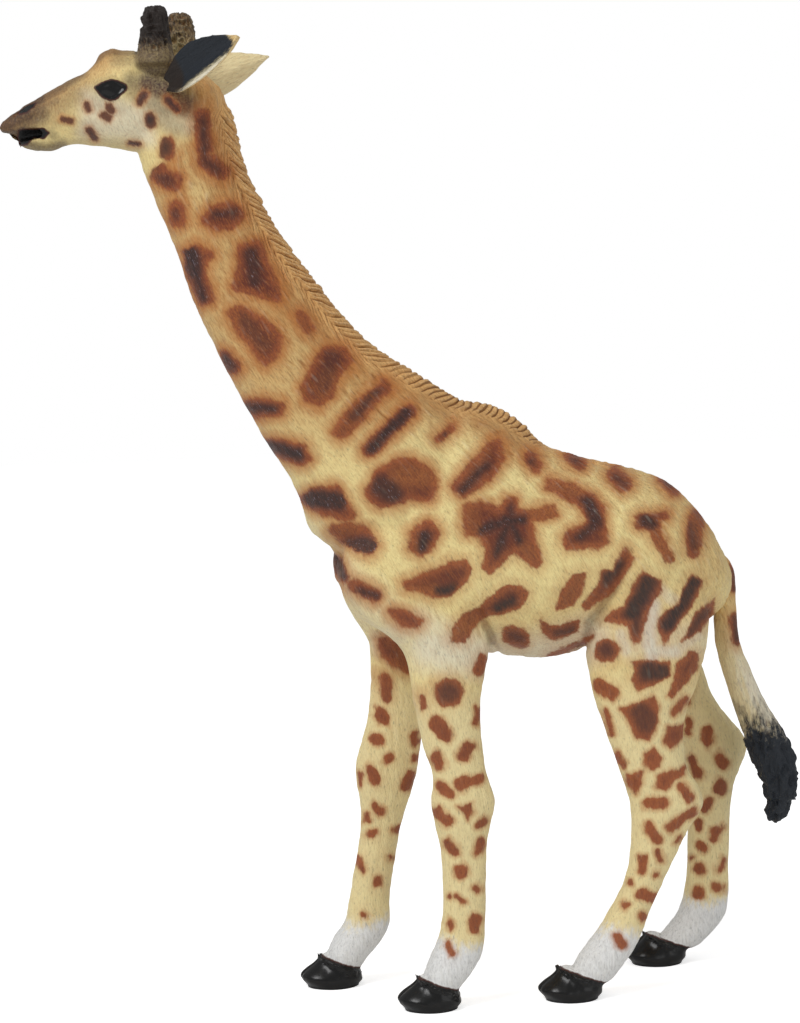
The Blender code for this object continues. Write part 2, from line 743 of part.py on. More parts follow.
def pocket_shape(along, up, length, height, reach):
    size = (2 * reach * BODY_WIDTH / 2, length * BODY_LENGTH, height * BODY_DEPTH)
    shape = rounded_block(size, POCKET_CORNER)
    shape.transform(Matrix.Translation(trunk_point(along, up)))
    return shape


def pin_shape(along, up, grow=0.0):
    """A locating pin across the joint face of the trunk, standing on its right half."""
    length = PIN_LENGTH + PEG_ROOT + grow
    shape = bmesh.new()
    radius = PIN_DIAMETER / 2 + grow
    bmesh.ops.create_cone(
        shape, cap_ends=True, segments=ROUND_POINTS, radius1=radius, radius2=radius, depth=length
    )
    turn = Matrix.Rotation(math.pi / 2, 4, "Y")
    shift = Matrix.Translation((length / 2 - PEG_ROOT, 0, 0))
    shape.transform(Matrix.Translation(trunk_point(along, up)) @ shift @ turn)
    return shape


class Workshop:
    """Holds the collections, and cuts and joins pieces with Boolean modifiers."""

    def __init__(self):
        self.parts = bpy.data.collections.new("giraffe")
        self.cutters = bpy.data.collections.new("cutters")
        bpy.context.scene.collection.children.link(self.parts)
        bpy.context.scene.collection.children.link(self.cutters)
        self.count = 0

    def tool(self, shape):
        self.count += 1
        tool = add_object("tool_%02d" % self.count, shape, self.cutters)
        tool.hide_render = True
        tool.display_type = "WIRE"
        return tool

    def shape(self, piece, operation, shape):
        step = piece.modifiers.new(operation.lower(), "BOOLEAN")
        step.operation = operation
        step.solver = "EXACT"
        step.object = self.tool(shape)

    def piece(self, name, mesh):
        colour, roughness = COATS[name]
        added = bpy.data.objects.new(name, mesh)
        self.parts.objects.link(added)
        paint = bpy.data.materials.new(name)
        paint.use_nodes = True
        shader = paint.node_tree.nodes["Principled BSDF"]
        shader.inputs["Base Color"].default_value = (*colour, 1)
        shader.inputs["Roughness"].default_value = roughness
        shader.inputs["Metallic"].default_value = 0
        mesh.materials.clear()
        mesh.materials.append(paint)
        return added


def make_trunk(shop, skin):
    """Both trunk halves: seams, sockets, coring pockets and locating pins."""
    neck_place = neck_point(*NECK_SEAM_SHARE)
    axis = neck_axis(NECK_SEAM_SHARE)
    for side, name in ((1, "body_left"), (-1, "body_right")):
        half = shop.piece(name, skin.copy())
        middle = Vector((side * SEAM_GAP / 2, 0, 0))
        shop.shape(half, "INTERSECT", side_block(middle, Vector((side, 0, 0))))
        shop.shape(half, "DIFFERENCE", side_block(neck_place, axis, -SEAM_GAP))
        shop.shape(half, "DIFFERENCE", peg_shape(aimed_frame(neck_place, -axis), NECK_PEG, PEG_CLEARANCE))
        shop.shape(half, "DIFFERENCE", tail_shape(PEG_CLEARANCE))
        for leg in LEGS:
            if LEGS[leg][2] == side:
                shop.shape(half, "DIFFERENCE", leg_block(leg, SEAM_GAP))
                shop.shape(half, "DIFFERENCE", peg_shape(leg_peg_frame(leg), LEG_PEG, PEG_CLEARANCE))
        for shares in POCKET_SHARES:
            shop.shape(half, "DIFFERENCE", pocket_shape(*shares))
        for shares in PIN_SHARES:
            if side > 0:
                shop.shape(half, "DIFFERENCE", pin_shape(*shares, PEG_CLEARANCE))
            else:
                shop.shape(half, "UNION", pin_shape(*shares))


def make_neck(shop, skin):
    neck = shop.piece("neck", skin.copy())
    neck_place = neck_point(*NECK_SEAM_SHARE)
    head_place = neck_point(*HEAD_SEAM_SHARE)
    axis = neck_axis(NECK_SEAM_SHARE)
    shop.shape(neck, "INTERSECT", side_block(neck_place, axis))
    shop.shape(neck, "DIFFERENCE", side_block(head_place, head_seam_axis(), -SEAM_GAP))
    shop.shape(neck, "UNION", peg_shape(aimed_frame(neck_place, -axis), NECK_PEG))
    shop.shape(neck, "UNION", peg_shape(aimed_frame(head_place, head_seam_axis()), HEAD_PEG))


def make_head(shop, skin):
    """The head with its open mouth, nostrils and sockets for the neck and both ears."""
    head = shop.piece("head", skin.copy())
    place = neck_point(*HEAD_SEAM_SHARE)
    frame = aimed_frame(place, head_seam_axis())
    shop.shape(head, "INTERSECT", side_block(place, head_seam_axis()))
    shop.shape(head, "DIFFERENCE", peg_shape(frame, HEAD_PEG, PEG_CLEARANCE))
    shop.shape(head, "DIFFERENCE", mouth_shape())
    for side in (1, -1):
        shop.shape(head, "DIFFERENCE", nostril_shape(side))
        shop.shape(head, "DIFFERENCE", ear_solid("ear_room", side, shop.cutters, PEG_CLEARANCE))
        shop.shape(head, "DIFFERENCE", ear_peg(side, PEG_CLEARANCE))


def make_ears(shop):
    for side, name in ((1, "ear_left"), (-1, "ear_right")):
        mesh = bpy.data.meshes.new(name)
        shape = ear_solid(name, side, shop.cutters)
        shape.to_mesh(mesh)
        shape.free()
        ear = shop.piece(name, mesh)
        shop.shape(ear, "UNION", ear_peg(side))


def make_legs(shop, skin):
    for name in LEGS:
        leg = shop.piece(name, skin.copy())
        shop.shape(leg, "INTERSECT", leg_block(name))
        shop.shape(leg, "UNION", peg_shape(leg_peg_frame(name), LEG_PEG))


def make_tail(shop):
    mesh = bpy.data.meshes.new("tail")
    shape = tail_shape()
    shape.to_mesh(mesh)
    shape.free()
    shop.piece("tail", mesh)


def centre_over_origin(shop):
    """Hang everything from one empty, moved so that the figure stands over the origin."""
    bpy.context.view_layer.update()
    graph = bpy.context.evaluated_depsgraph_get()
    corners = []
    for piece in shop.parts.objects:
        corners += [Vector(corner) for corner in piece.evaluated_get(graph).bound_box]
    low = [min(corner[axis] for corner in corners) for axis in range(3)]
    high = [max(corner[axis] for corner in corners) for axis in range(3)]
    base = bpy.data.objects.new("giraffe_base", None)
    shop.cutters.objects.link(base)
    base.hide_render = True
    base.location = (-(low[0] + high[0]) / 2, -(low[1] + high[1]) / 2, 0)
    for piece in [*shop.parts.objects, *shop.cutters.objects]:
        if piece is not base:
            piece.parent = base


def main():
    for old in list(bpy.data.objects):
        bpy.data.objects.remove(old, do_unlink=True)
    shop = Workshop()
    skin = sculpted_skin(shop.cutters)
    make_trunk(shop, skin)
    make_neck(shop, skin)
    make_head(shop, skin)
    make_ears(shop)
    make_legs(shop, skin)
    make_tail(shop)
    for piece in shop.parts.objects:
        piece.data.shade_smooth()
        piece.data.set_sharp_from_angle(angle=SHARP_ANGLE)
    centre_over_origin(shop)


main()
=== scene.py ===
"""Looks of the walking giraffe figure: sculpted hair, mane, face and hand-painted coat."""

import math
import random

import bmesh
import bpy
import numpy as np
from mathutils import Matrix, Vector
from mathutils.bvhtree import BVHTree


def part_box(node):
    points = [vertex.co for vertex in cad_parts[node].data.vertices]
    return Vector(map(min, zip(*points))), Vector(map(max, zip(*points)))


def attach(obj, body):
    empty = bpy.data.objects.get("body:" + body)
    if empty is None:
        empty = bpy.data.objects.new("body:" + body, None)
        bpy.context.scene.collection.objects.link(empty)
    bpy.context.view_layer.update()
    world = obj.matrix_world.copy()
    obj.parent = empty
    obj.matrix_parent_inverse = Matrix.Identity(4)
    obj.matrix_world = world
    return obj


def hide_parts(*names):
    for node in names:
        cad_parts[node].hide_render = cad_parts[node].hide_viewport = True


# Trunk, in metres
BELLY_HEIGHT = 0.0570
BODY_LENGTH = 0.0680
BODY_DEPTH = 0.0360
BODY_WIDTH = 0.0310

# Neck, from its root in the shoulders to the poll
NECK_REACH = 0.0400
NECK_RISE = 0.0620
NECK_DEPTH = 0.0200
NECK_WIDTH = 0.0150
MANE_HEIGHT = 0.0020
MANE_WIDTH = 0.0030

# Head, from the poll to the muzzle
HEAD_LENGTH = 0.0320
HEAD_DEPTH = 0.0165
HEAD_WIDTH = 0.0150
HEAD_TURN = math.radians(-22.0)
OSSICONE_LENGTH = 0.0098
OSSICONE_DIAMETER = 0.0042
MOUTH_OPENING = 0.0021
EYE_LENGTH = 0.0056
EAR_LENGTH = 0.0142
EAR_WIDTH = 0.0066
EAR_THICKNESS = 0.0013
EAR_CUP = 0.0014

# Legs
LEG_DEPTH = 0.0100
LEG_WIDTH = 0.0082
STANCE_WIDTH = 0.0220
HOOF_LENGTH = 0.0112
HOOF_WIDTH = 0.0098
HOOF_HEIGHT = 0.0062

# Tail
TAIL_DROP = 0.0470
TAIL_SWING = 0.0100
TAIL_THICKNESS = 0.0052

# Fineness of the lofted forms
RING_POINTS = 24
ROUND_POINTS = 16
STATION_STEPS = 3

# Trunk rings from breast to rump: along, up, depth, width, peak
TRUNK_SHARES = (
    (0.00, 0.49, 0.22, 0.20, 0.00),
    (0.03, 0.52, 0.50, 0.45, 0.05),
    (0.11, 0.61, 0.86, 0.74, 0.15),
    (0.24, 0.65, 1.18, 0.86, 0.35),
    (0.36, 0.61, 1.12, 0.93, 0.35),
    (0.45, 0.54, 1.03, 0.98, 0.22),
    (0.54, 0.50, 0.99, 1.00, 0.12),
    (0.64, 0.49, 0.91, 0.98, 0.08),
    (0.73, 0.49, 0.83, 0.94, 0.06),
    (0.82, 0.46, 0.74, 0.86, 0.05),
    (0.91, 0.38, 0.54, 0.68, 0.00),
    (0.97, 0.33, 0.30, 0.42, 0.00),
    (1.00, 0.32, 0.10, 0.14, 0.00),
)
TRUNK_LEAN = math.radians(8.0)

# Neck rings from root to poll: forward, up, depth, width, peak
NECK_ROOT_SHARE = (0.203, 0.86)
NECK_SHARES = (
    (-0.06, -0.150, 0.90, 0.90, 0.10),
    (0.04, -0.070, 1.36, 1.45, 0.15),
    (0.158, 0.035, 1.62, 1.44, 0.20),
    (0.285, 0.132, 1.34, 1.28, 0.20),
    (0.430, 0.232, 1.13, 1.14, 0.18),
    (0.565, 0.350, 0.99, 1.02, 0.15),
    (0.675, 0.470, 0.90, 0.94, 0.12),
    (0.770, 0.580, 0.81, 0.88, 0.10),
    (0.850, 0.700, 0.72, 0.83, 0.08),
    (0.930, 0.820, 0.69, 0.80, 0.05),
    (0.980, 0.930, 0.72, 0.80, 0.00),
    (0.990, 1.000, 0.70, 0.78, 0.00),
    (1.000, 1.060, 0.56, 0.62, 0.00),
)
WITHERS_SHARES = ((0.530, 0.960), (0.485, 1.010), (0.440, 1.095), (0.390, 1.160), (0.335, 1.185))
POLL_SHARE = (0.970, 1.00)
NECK_SEAM_SHARE = (0.415, 0.237)
HEAD_SEAM_SHARE = (0.972, 0.975)
HEAD_SEAM_TILT = math.radians(27.0)

# Head rings from muzzle to nape: forward, up, depth, width, peak
HEAD_SHARES = (
    (0.995, 0.045, 0.14, 0.26, 0.00),
    (0.945, 0.045, 0.31, 0.42, 0.00),
    (0.850, 0.050, 0.46, 0.52, 0.05),
    (0.725, 0.095, 0.61, 0.55, 0.15),
    (0.610, 0.170, 0.67, 0.60, 0.15),
    (0.500, 0.200, 0.77, 0.72, 0.10),
    (0.395, 0.270, 0.97, 0.90, 0.05),
    (0.260, 0.250, 1.03, 0.98, 0.05),
    (0.130, 0.23, 0.96, 0.97, 0.10),
    (0.000, 0.245, 0.80, 0.90, 0.10),
    (-0.130, 0.23, 0.52, 0.70, 0.05),
    (-0.210, 0.21, 0.22, 0.36, 0.00),
)
EYE_SHARES = (0.405, 0.335, 0.340)
EYE_SIZE_SHARES = (0.40, 0.50, 0.36)
OSSICONE_SIDE_SHARE = 0.310
OSSICONE_FOOT_SHARE = 0.560
OSSICONE_FORWARD_SHARES = {1: 0.090, -1: 0.040}
OSSICONE_SHARES = (
    (0.00, 1.80), (0.25, 1.40), (0.50, 1.18), (0.75, 1.06), (0.92, 0.96), (0.99, 0.60)
)

# Ear leaf in the head's frame
EAR_ROOT_SHARES = (0.430, -0.035, 0.400)
EAR_RUN_SHARES = {1: (0.36, -0.82, 0.36), -1: (0.45, -0.77, 0.38)}
EAR_FACING_SHARES = (1.0, 0.35, 0.25)

# Leg rings from the top down: along, up, depth, width, out
LEFT_FORELEG_SHARES = (
    (-0.090, 1.500, 1.20, 0.70, 0.50),
    (-0.100, 1.420, 1.75, 1.10, 0.62),
    (-0.110, 1.300, 2.05, 1.32, 0.74),
    (-0.060, 1.170, 2.00, 1.32, 0.82),
    (0.000, 1.090, 1.62, 1.18, 0.88),
    (0.010, 1.030, 1.37, 1.08, 0.92),
    (0.005, 0.910, 1.15, 0.95, 0.96),
    (0.015, 0.790, 1.04, 0.85, 0.98),
    (0.035, 0.690, 0.92, 0.80, 1.00),
    (0.042, 0.615, 1.12, 0.92, 1.00),
    (0.040, 0.540, 0.96, 0.84, 1.00),
    (0.040, 0.465, 0.80, 0.70, 1.00),
    (0.038, 0.315, 0.76, 0.66, 1.00),
    (0.030, 0.226, 0.79, 0.74, 1.00),
    (0.008, 0.154, 0.90, 0.90, 1.00),
    (-0.030, 0.095, 0.92, 0.98, 1.00),
    (-0.060, 0.045, 0.80, 0.90, 1.00),
)
RIGHT_FORELEG_SHARES = (
    (-0.070, 1.500, 1.20, 0.70, 0.50),
    (-0.080, 1.420, 1.75, 1.10, 0.62),
    (-0.085, 1.300, 2.02, 1.32, 0.74),
    (-0.060, 1.170, 1.95, 1.32, 0.82),
    (-0.040, 1.060, 1.45, 1.15, 0.90),
    (-0.060, 0.930, 1.16, 0.97, 0.96),
    (-0.090, 0.800, 1.04, 0.86, 0.98),
    (-0.115, 0.690, 1.14, 0.90, 1.00),
    (-0.122, 0.630, 1.06, 0.90, 1.00),
    (-0.130, 0.560, 0.87, 0.78, 1.00),
    (-0.145, 0.470, 0.72, 0.68, 1.00),
    (-0.163, 0.380, 0.71, 0.66, 1.00),
    (-0.185, 0.265, 0.74, 0.70, 1.00),
    (-0.193, 0.195, 0.83, 0.82, 1.00),
    (-0.222, 0.145, 0.94, 0.92, 1.00),
    (-0.262, 0.095, 0.92, 0.98, 1.00),
    (-0.290, 0.045, 0.80, 0.90, 1.00),
)
LEFT_HINDLEG_SHARES = (
    (0.000, 1.520, 0.90, 0.60, 0.45),
    (0.000, 1.450, 1.45, 0.95, 0.58),
    (-0.005, 1.330, 2.05, 1.25, 0.70),
    (-0.005, 1.190, 2.26, 1.38, 0.80),
    (0.005, 1.070, 2.20, 1.32, 0.88),
    (-0.008, 0.920, 1.84, 1.15, 0.94),
    (-0.015, 0.850, 1.54, 1.05, 0.96),
    (-0.008, 0.765, 1.30, 0.95, 0.98),
    (0.008, 0.685, 1.19, 0.90, 1.00),
    (0.036, 0.610, 1.23, 0.90, 1.00),
    (0.047, 0.570, 1.25, 0.92, 1.00),
    (0.037, 0.510, 1.12, 0.88, 1.00),
    (0.010, 0.430, 0.88, 0.75, 1.00),
    (-0.014, 0.370, 0.75, 0.68, 1.00),
    (-0.040, 0.312, 0.71, 0.66, 1.00),
    (-0.073, 0.255, 0.74, 0.70, 1.00),
    (-0.105, 0.195, 0.82, 0.80, 1.00),
    (-0.135, 0.150, 0.90, 0.90, 1.00),
    (-0.172, 0.098, 0.90, 0.98, 1.00),
    (-0.205, 0.045, 0.80, 0.90, 1.00),
)
RIGHT_HINDLEG_SHARES = (
    (0.000, 1.520, 0.90, 0.60, 0.45),
    (0.000, 1.450, 1.45, 0.95, 0.58),
    (-0.005, 1.330, 2.05, 1.25, 0.70),
    (0.010, 1.190, 2.22, 1.38, 0.80),
    (0.045, 1.070, 2.10, 1.32, 0.88),
    (0.130, 0.935, 1.72, 1.15, 0.94),
    (0.195, 0.825, 1.42, 1.00, 0.96),
    (0.300, 0.712, 1.24, 0.92, 0.98),
    (0.318, 0.660, 1.18, 0.90, 1.00),
    (0.302, 0.580, 0.96, 0.84, 1.00),
    (0.295, 0.505, 0.82, 0.75, 1.00),
    (0.290, 0.385, 0.77, 0.68, 1.00),
    (0.283, 0.250, 0.79, 0.70, 1.00),
    (0.270, 0.172, 0.88, 0.82, 1.00),
    (0.250, 0.130, 0.92, 0.90, 1.00),
    (0.215, 0.090, 0.94, 0.98, 1.00),
    (0.178, 0.045, 0.84, 0.90, 1.00),
)
FORELEG_ROOT_SHARE = 0.220
HINDLEG_ROOT_SHARE = 0.735
LEGS = {
    "foreleg_left": (LEFT_FORELEG_SHARES, FORELEG_ROOT_SHARE, 1, -0.075),
    "foreleg_right": (RIGHT_FORELEG_SHARES, FORELEG_ROOT_SHARE, -1, -0.310),
    "hindleg_left": (LEFT_HINDLEG_SHARES, HINDLEG_ROOT_SHARE, 1, -0.262),
    "hindleg_right": (RIGHT_HINDLEG_SHARES, HINDLEG_ROOT_SHARE, -1, 0.108),
}

# Hoof rings from below the sole to the coronet: up, length, width, back, slope to the heel
HOOF_SHARES = (
    (-0.25, 0.90, 0.90, 0.02, 0.00),
    (0.00, 0.94, 0.92, 0.01, 0.00),
    (0.20, 1.00, 1.00, 0.00, 0.05),
    (0.38, 0.95, 0.98, 0.03, 0.20),
    (0.52, 0.85, 0.93, 0.08, 0.36),
    (0.64, 0.75, 0.86, 0.11, 0.46),
    (0.70, 0.55, 0.62, 0.15, 0.46),
)

# Two places under the belly, along and up, that each leg's slanting seam passes through
LEG_SEAM_SHARES = {
    "foreleg": ((0.030, 0.100), (0.360, -0.010)),
    "hindleg": ((0.500, -0.020), (0.910, 0.115)),
}

# Tail rings from the root inside the rump to the tip of the tuft: back, down, thickness
TAIL_ROOT_SHARE = (0.985, 0.45)
TAIL_SHARES = (
    (-0.62, -0.035, 0.62),
    (-0.35, -0.025, 0.64),
    (-0.08, 0.005, 0.66),
    (0.04, 0.050, 0.74),
    (0.05, 0.110, 0.84),
    (0.03, 0.200, 0.90),
    (0.06, 0.320, 0.94),
    (0.22, 0.430, 1.06),
    (0.42, 0.545, 1.16),
    (0.68, 0.670, 1.44),
    (0.90, 0.785, 1.48),
    (0.98, 0.870, 1.22),
    (0.90, 0.955, 0.80),
    (0.85, 1.000, 0.24),
)

# Photo camera in the figure's own frame, with sizes of the photo in pixels
PHOTO_WIDTH = 800
PHOTO_HEIGHT = 1023
FOCAL_PIXELS = 2668
SENSOR_WIDTH = 36.0
CAMERA_TURN = math.radians(10.0)
CAMERA_ROLL = math.radians(1.7)
CAMERA_AIM = Vector((0, 0.0100, 0.0835))
CAMERA_DISTANCE = 0.4560
CAMERA_HEIGHT = 0.1076

# Studio: the lights' sizes, powers and how far they stand towards the camera, right and up
KEY_SIZE = 0.50
KEY_POWER = 5.2
KEY_ARMS = (0.55, -0.50, 0.75)
FILL_SIZE = 0.70
FILL_POWER = 1.2
FILL_ARMS = (0.70, 0.70, 0.15)
FLOOR_REACH = 3.0
FLOOR_GLOW = 0.62
WORLD_LIGHT = 0.42

# Fineness of the meshes
MM = 0.001
COARSE_VOXEL = 0.00060
COARSE_SMOOTHING = 9
FINE_VOXEL = 0.00024
FINE_SMOOTHING = 3
TRIM_VOXEL = 0.00020
CAVITY_ROUNDS = 10
SHARP_RIM = math.radians(75)
EAR_ROUNDING = 2
EAR_COLUMNS = 14
FRINGE_SIDES = 6

# Where the skin is split finer: on the face above a height, and within millimetres of the mane
FINE_HEIGHT = 0.135
FINE_MANE_REACH = 5.2

# What the paint knows at each point: three channels in each layer, and the hair's coordinates
PAINT_LAYERS = ("paint_a", "paint_b", "paint_c", "paint_d", "paint_e", "fur")

# Mane strokes, hoof rims, the wall in the mouth, the seams and the nostrils
TUFT_SPACING = 0.55 * MM
SOLE_ROW = 1
CORONET_ROW = 4
CORONET_RISE = 0.7
FRINGE_POINTS = 44
FRINGE_RADII = (0.18 * MM, 0.22 * MM, 0.10 * MM)
MOUTH_WALL = 0.0011
MOUTH_WALL_END = 0.955
MOUTH_WALL_FULL = 0.90
SEAM_DROP = 0.0030
LEG_TOP_MARGIN = 0.012
HEAD_FLOOR = 0.12
NOSTRIL_PLACE = (0.175, 0.875, 0.185)
NOSTRIL_RADII = (0.55 * MM, 1.35 * MM, 0.5 * MM)
NOSTRIL_TURN = math.radians(30)

# How far the hair's run turns down at heights above the ground
HAIR_HEIGHTS = np.array([0, 30, 58, 68, 85, 105, 125, 145, 175]) * MM
HAIR_ANGLES = np.radians([88, 86, 78, 66, 58, 54, 62, 74, 80])

# Hollow of the mouth from its corner forward: forward, up, opening
MOUTH_SHARES = (
    (0.735, -0.040, 0.10),
    (0.76, -0.045, 0.85),
    (0.82, -0.055, 1.0),
    (0.88, -0.072, 1.0),
    (0.94, -0.085, 1.1),
    (1.02, -0.100, 1.3),
    (1.15, -0.13, 1.6),
)

# Both edges of each ear in its own axes: along it, then across it to its two sides
EAR_EDGES = {
    1: ((-0.14, -0.38, 0.42), (0.05, -0.72, 0.98), (0.22, -0.98, 1.16), (0.42, -1.08, 1.18),
        (0.60, -0.94, 1.05), (0.75, -0.74, 0.86), (0.88, -0.50, 0.56), (0.97, -0.30, 0.14),
        (1.02, -0.20, -0.08)),
    -1: ((-0.14, -0.62, 0.50), (0.05, -0.90, 0.90), (0.26, -1.00, 1.06), (0.42, -0.94, 1.04),
         (0.55, -0.78, 0.94), (0.70, -0.56, 0.66), (0.84, -0.26, 0.34), (0.92, -0.09, 0.12),
         (0.96, -0.03, 0.03)),
}

# Clumps of the tail's tuft: first and last share of it, number and reach
TAIL_CLUMPS = ((0.00, 0.50, 7, 0.55), (0.22, 0.78, 7, 0.62), (0.48, 1.00, 6, 0.60))

# Brown spots where they lie in the photo: corners in its pixels, and a rounding radius
NECK_SPOTS = (
    (((168, 144), (167, 152)), 8), (((202, 116), (204, 148)), 8), (((205, 160), (222, 172)), 8),
    (((160, 176), (173, 182)), 9), (((156, 166), (160, 170)), 7), (((177, 208), (178, 220)), 8),
    (((206, 220), (214, 209), (228, 206), (238, 210), (241, 217), (230, 224), (215, 227)), 4),
    (((187, 252), (196, 248), (209, 254), (203, 262), (202, 275), (208, 290), (210, 300),
      (203, 302), (197, 290), (190, 272)), 4),
    (((242, 248), (251, 245), (260, 246), (264, 262), (274, 285), (278, 297), (262, 294),
      (236, 288), (239, 270)), 4),
    (((233, 314), (241, 311), (260, 321), (274, 333), (278, 343), (272, 356), (266, 360),
      (256, 348), (240, 328)), 5), (((301, 316), (308, 329)), 5), (((224, 358), (233, 366)), 8),
    (((326, 352), (342, 353), (346, 360), (333, 374), (328, 392), (319, 401), (310, 397),
      (307, 388), (314, 372)), 6),
    (((246, 404), (262, 402), (280, 406), (279, 412), (262, 415), (252, 414)), 4),
    (((384, 388), (366, 404)), 7), (((366, 404), (342, 430)), 9), (((408, 412), (388, 432)), 7),
    (((388, 432), (370, 450)), 8),
    (((265, 443), (280, 443), (302, 448), (307, 458), (302, 462), (288, 457), (274, 452)), 4),
    (((304, 500), (314, 493), (336, 490), (342, 502), (350, 514), (342, 516), (326, 512)), 5),
    (((381, 474), (396, 466), (413, 465), (426, 473), (430, 486), (427, 495), (410, 490),
      (394, 500), (380, 502), (371, 493)), 7),
    (((334, 530), (350, 526), (364, 532), (373, 545), (369, 551), (358, 547), (346, 539)), 5),
)
TRUNK_SPOTS = (
    (((438, 438), (452, 428)), 4),
    (((496, 444), (500, 459), (487, 476), (463, 492), (456, 487), (472, 468), (485, 454)), 5),
    (((466, 506), (481, 503), (500, 510), (506, 500), (515, 500), (518, 511), (530, 512),
      (553, 507), (555, 515), (530, 521), (533, 540), (541, 562), (536, 566), (522, 556),
      (514, 551), (505, 558), (490, 572), (485, 568), (487, 549), (481, 535), (468, 534),
      (464, 524)), 2),
    (((414, 534), (428, 525), (435, 532), (430, 545), (421, 553), (414, 549)), 5),
    (((530, 458), (536, 466)), 6), (((570, 456), (580, 464)), 6), (((614, 475), (624, 484)), 8),
    (((664, 478), (674, 490)), 6),
    (((548, 480), (573, 486), (593, 496), (603, 508), (604, 532), (606, 542), (598, 547),
      (566, 547), (564, 539), (569, 531), (582, 528), (588, 520), (582, 508), (560, 494),
      (548, 487)), 2), (((643, 521), (652, 524)), 9), (((656, 534), (669, 558)), 5.5),
    (((652, 518), (665, 515)), 4), (((697, 517), (693, 552)), 7),
    (((404, 583), (420, 577), (436, 570), (452, 562), (466, 561), (471, 569), (467, 581),
      (449, 596), (434, 597), (420, 591), (406, 590)), 1.5),
    (((508, 586), (522, 586), (527, 593), (523, 604), (505, 614), (487, 616), (477, 622),
      (465, 642), (452, 641), (454, 628), (465, 616), (481, 608), (490, 598)), 1.5),
    (((392, 611), (405, 611), (422, 621), (418, 626), (404, 625)), 2),
    (((353, 586), (375, 596)), 6), (((512, 635), (520, 638)), 10),
    (((541, 619), (549, 625), (561, 625), (579, 620), (577, 630), (566, 636), (554, 639),
      (546, 635), (542, 627)), 1.5),
    (((585, 574), (573, 577), (562, 591), (557, 608), (564, 607), (572, 603), (582, 589)), 2),
    (((626, 549), (634, 558), (621, 580), (608, 596), (586, 610), (581, 605), (592, 593),
      (599, 581), (601, 572), (613, 569), (620, 557)), 1),
    (((643, 574), (661, 581), (659, 593), (649, 606), (643, 622), (640, 641), (634, 642),
      (629, 625), (606, 620), (610, 614), (625, 606), (634, 584)), 1.5),
    (((692, 576), (701, 582), (697, 597), (677, 624), (665, 644), (660, 632), (658, 618),
      (676, 606), (685, 588)), 1.5),
    (((714, 599), (713, 614), (701, 630), (682, 642), (689, 630), (695, 614)), 1),
    (((548, 656), (592, 638)), 3), (((336, 560), (342, 578)), 6),
)
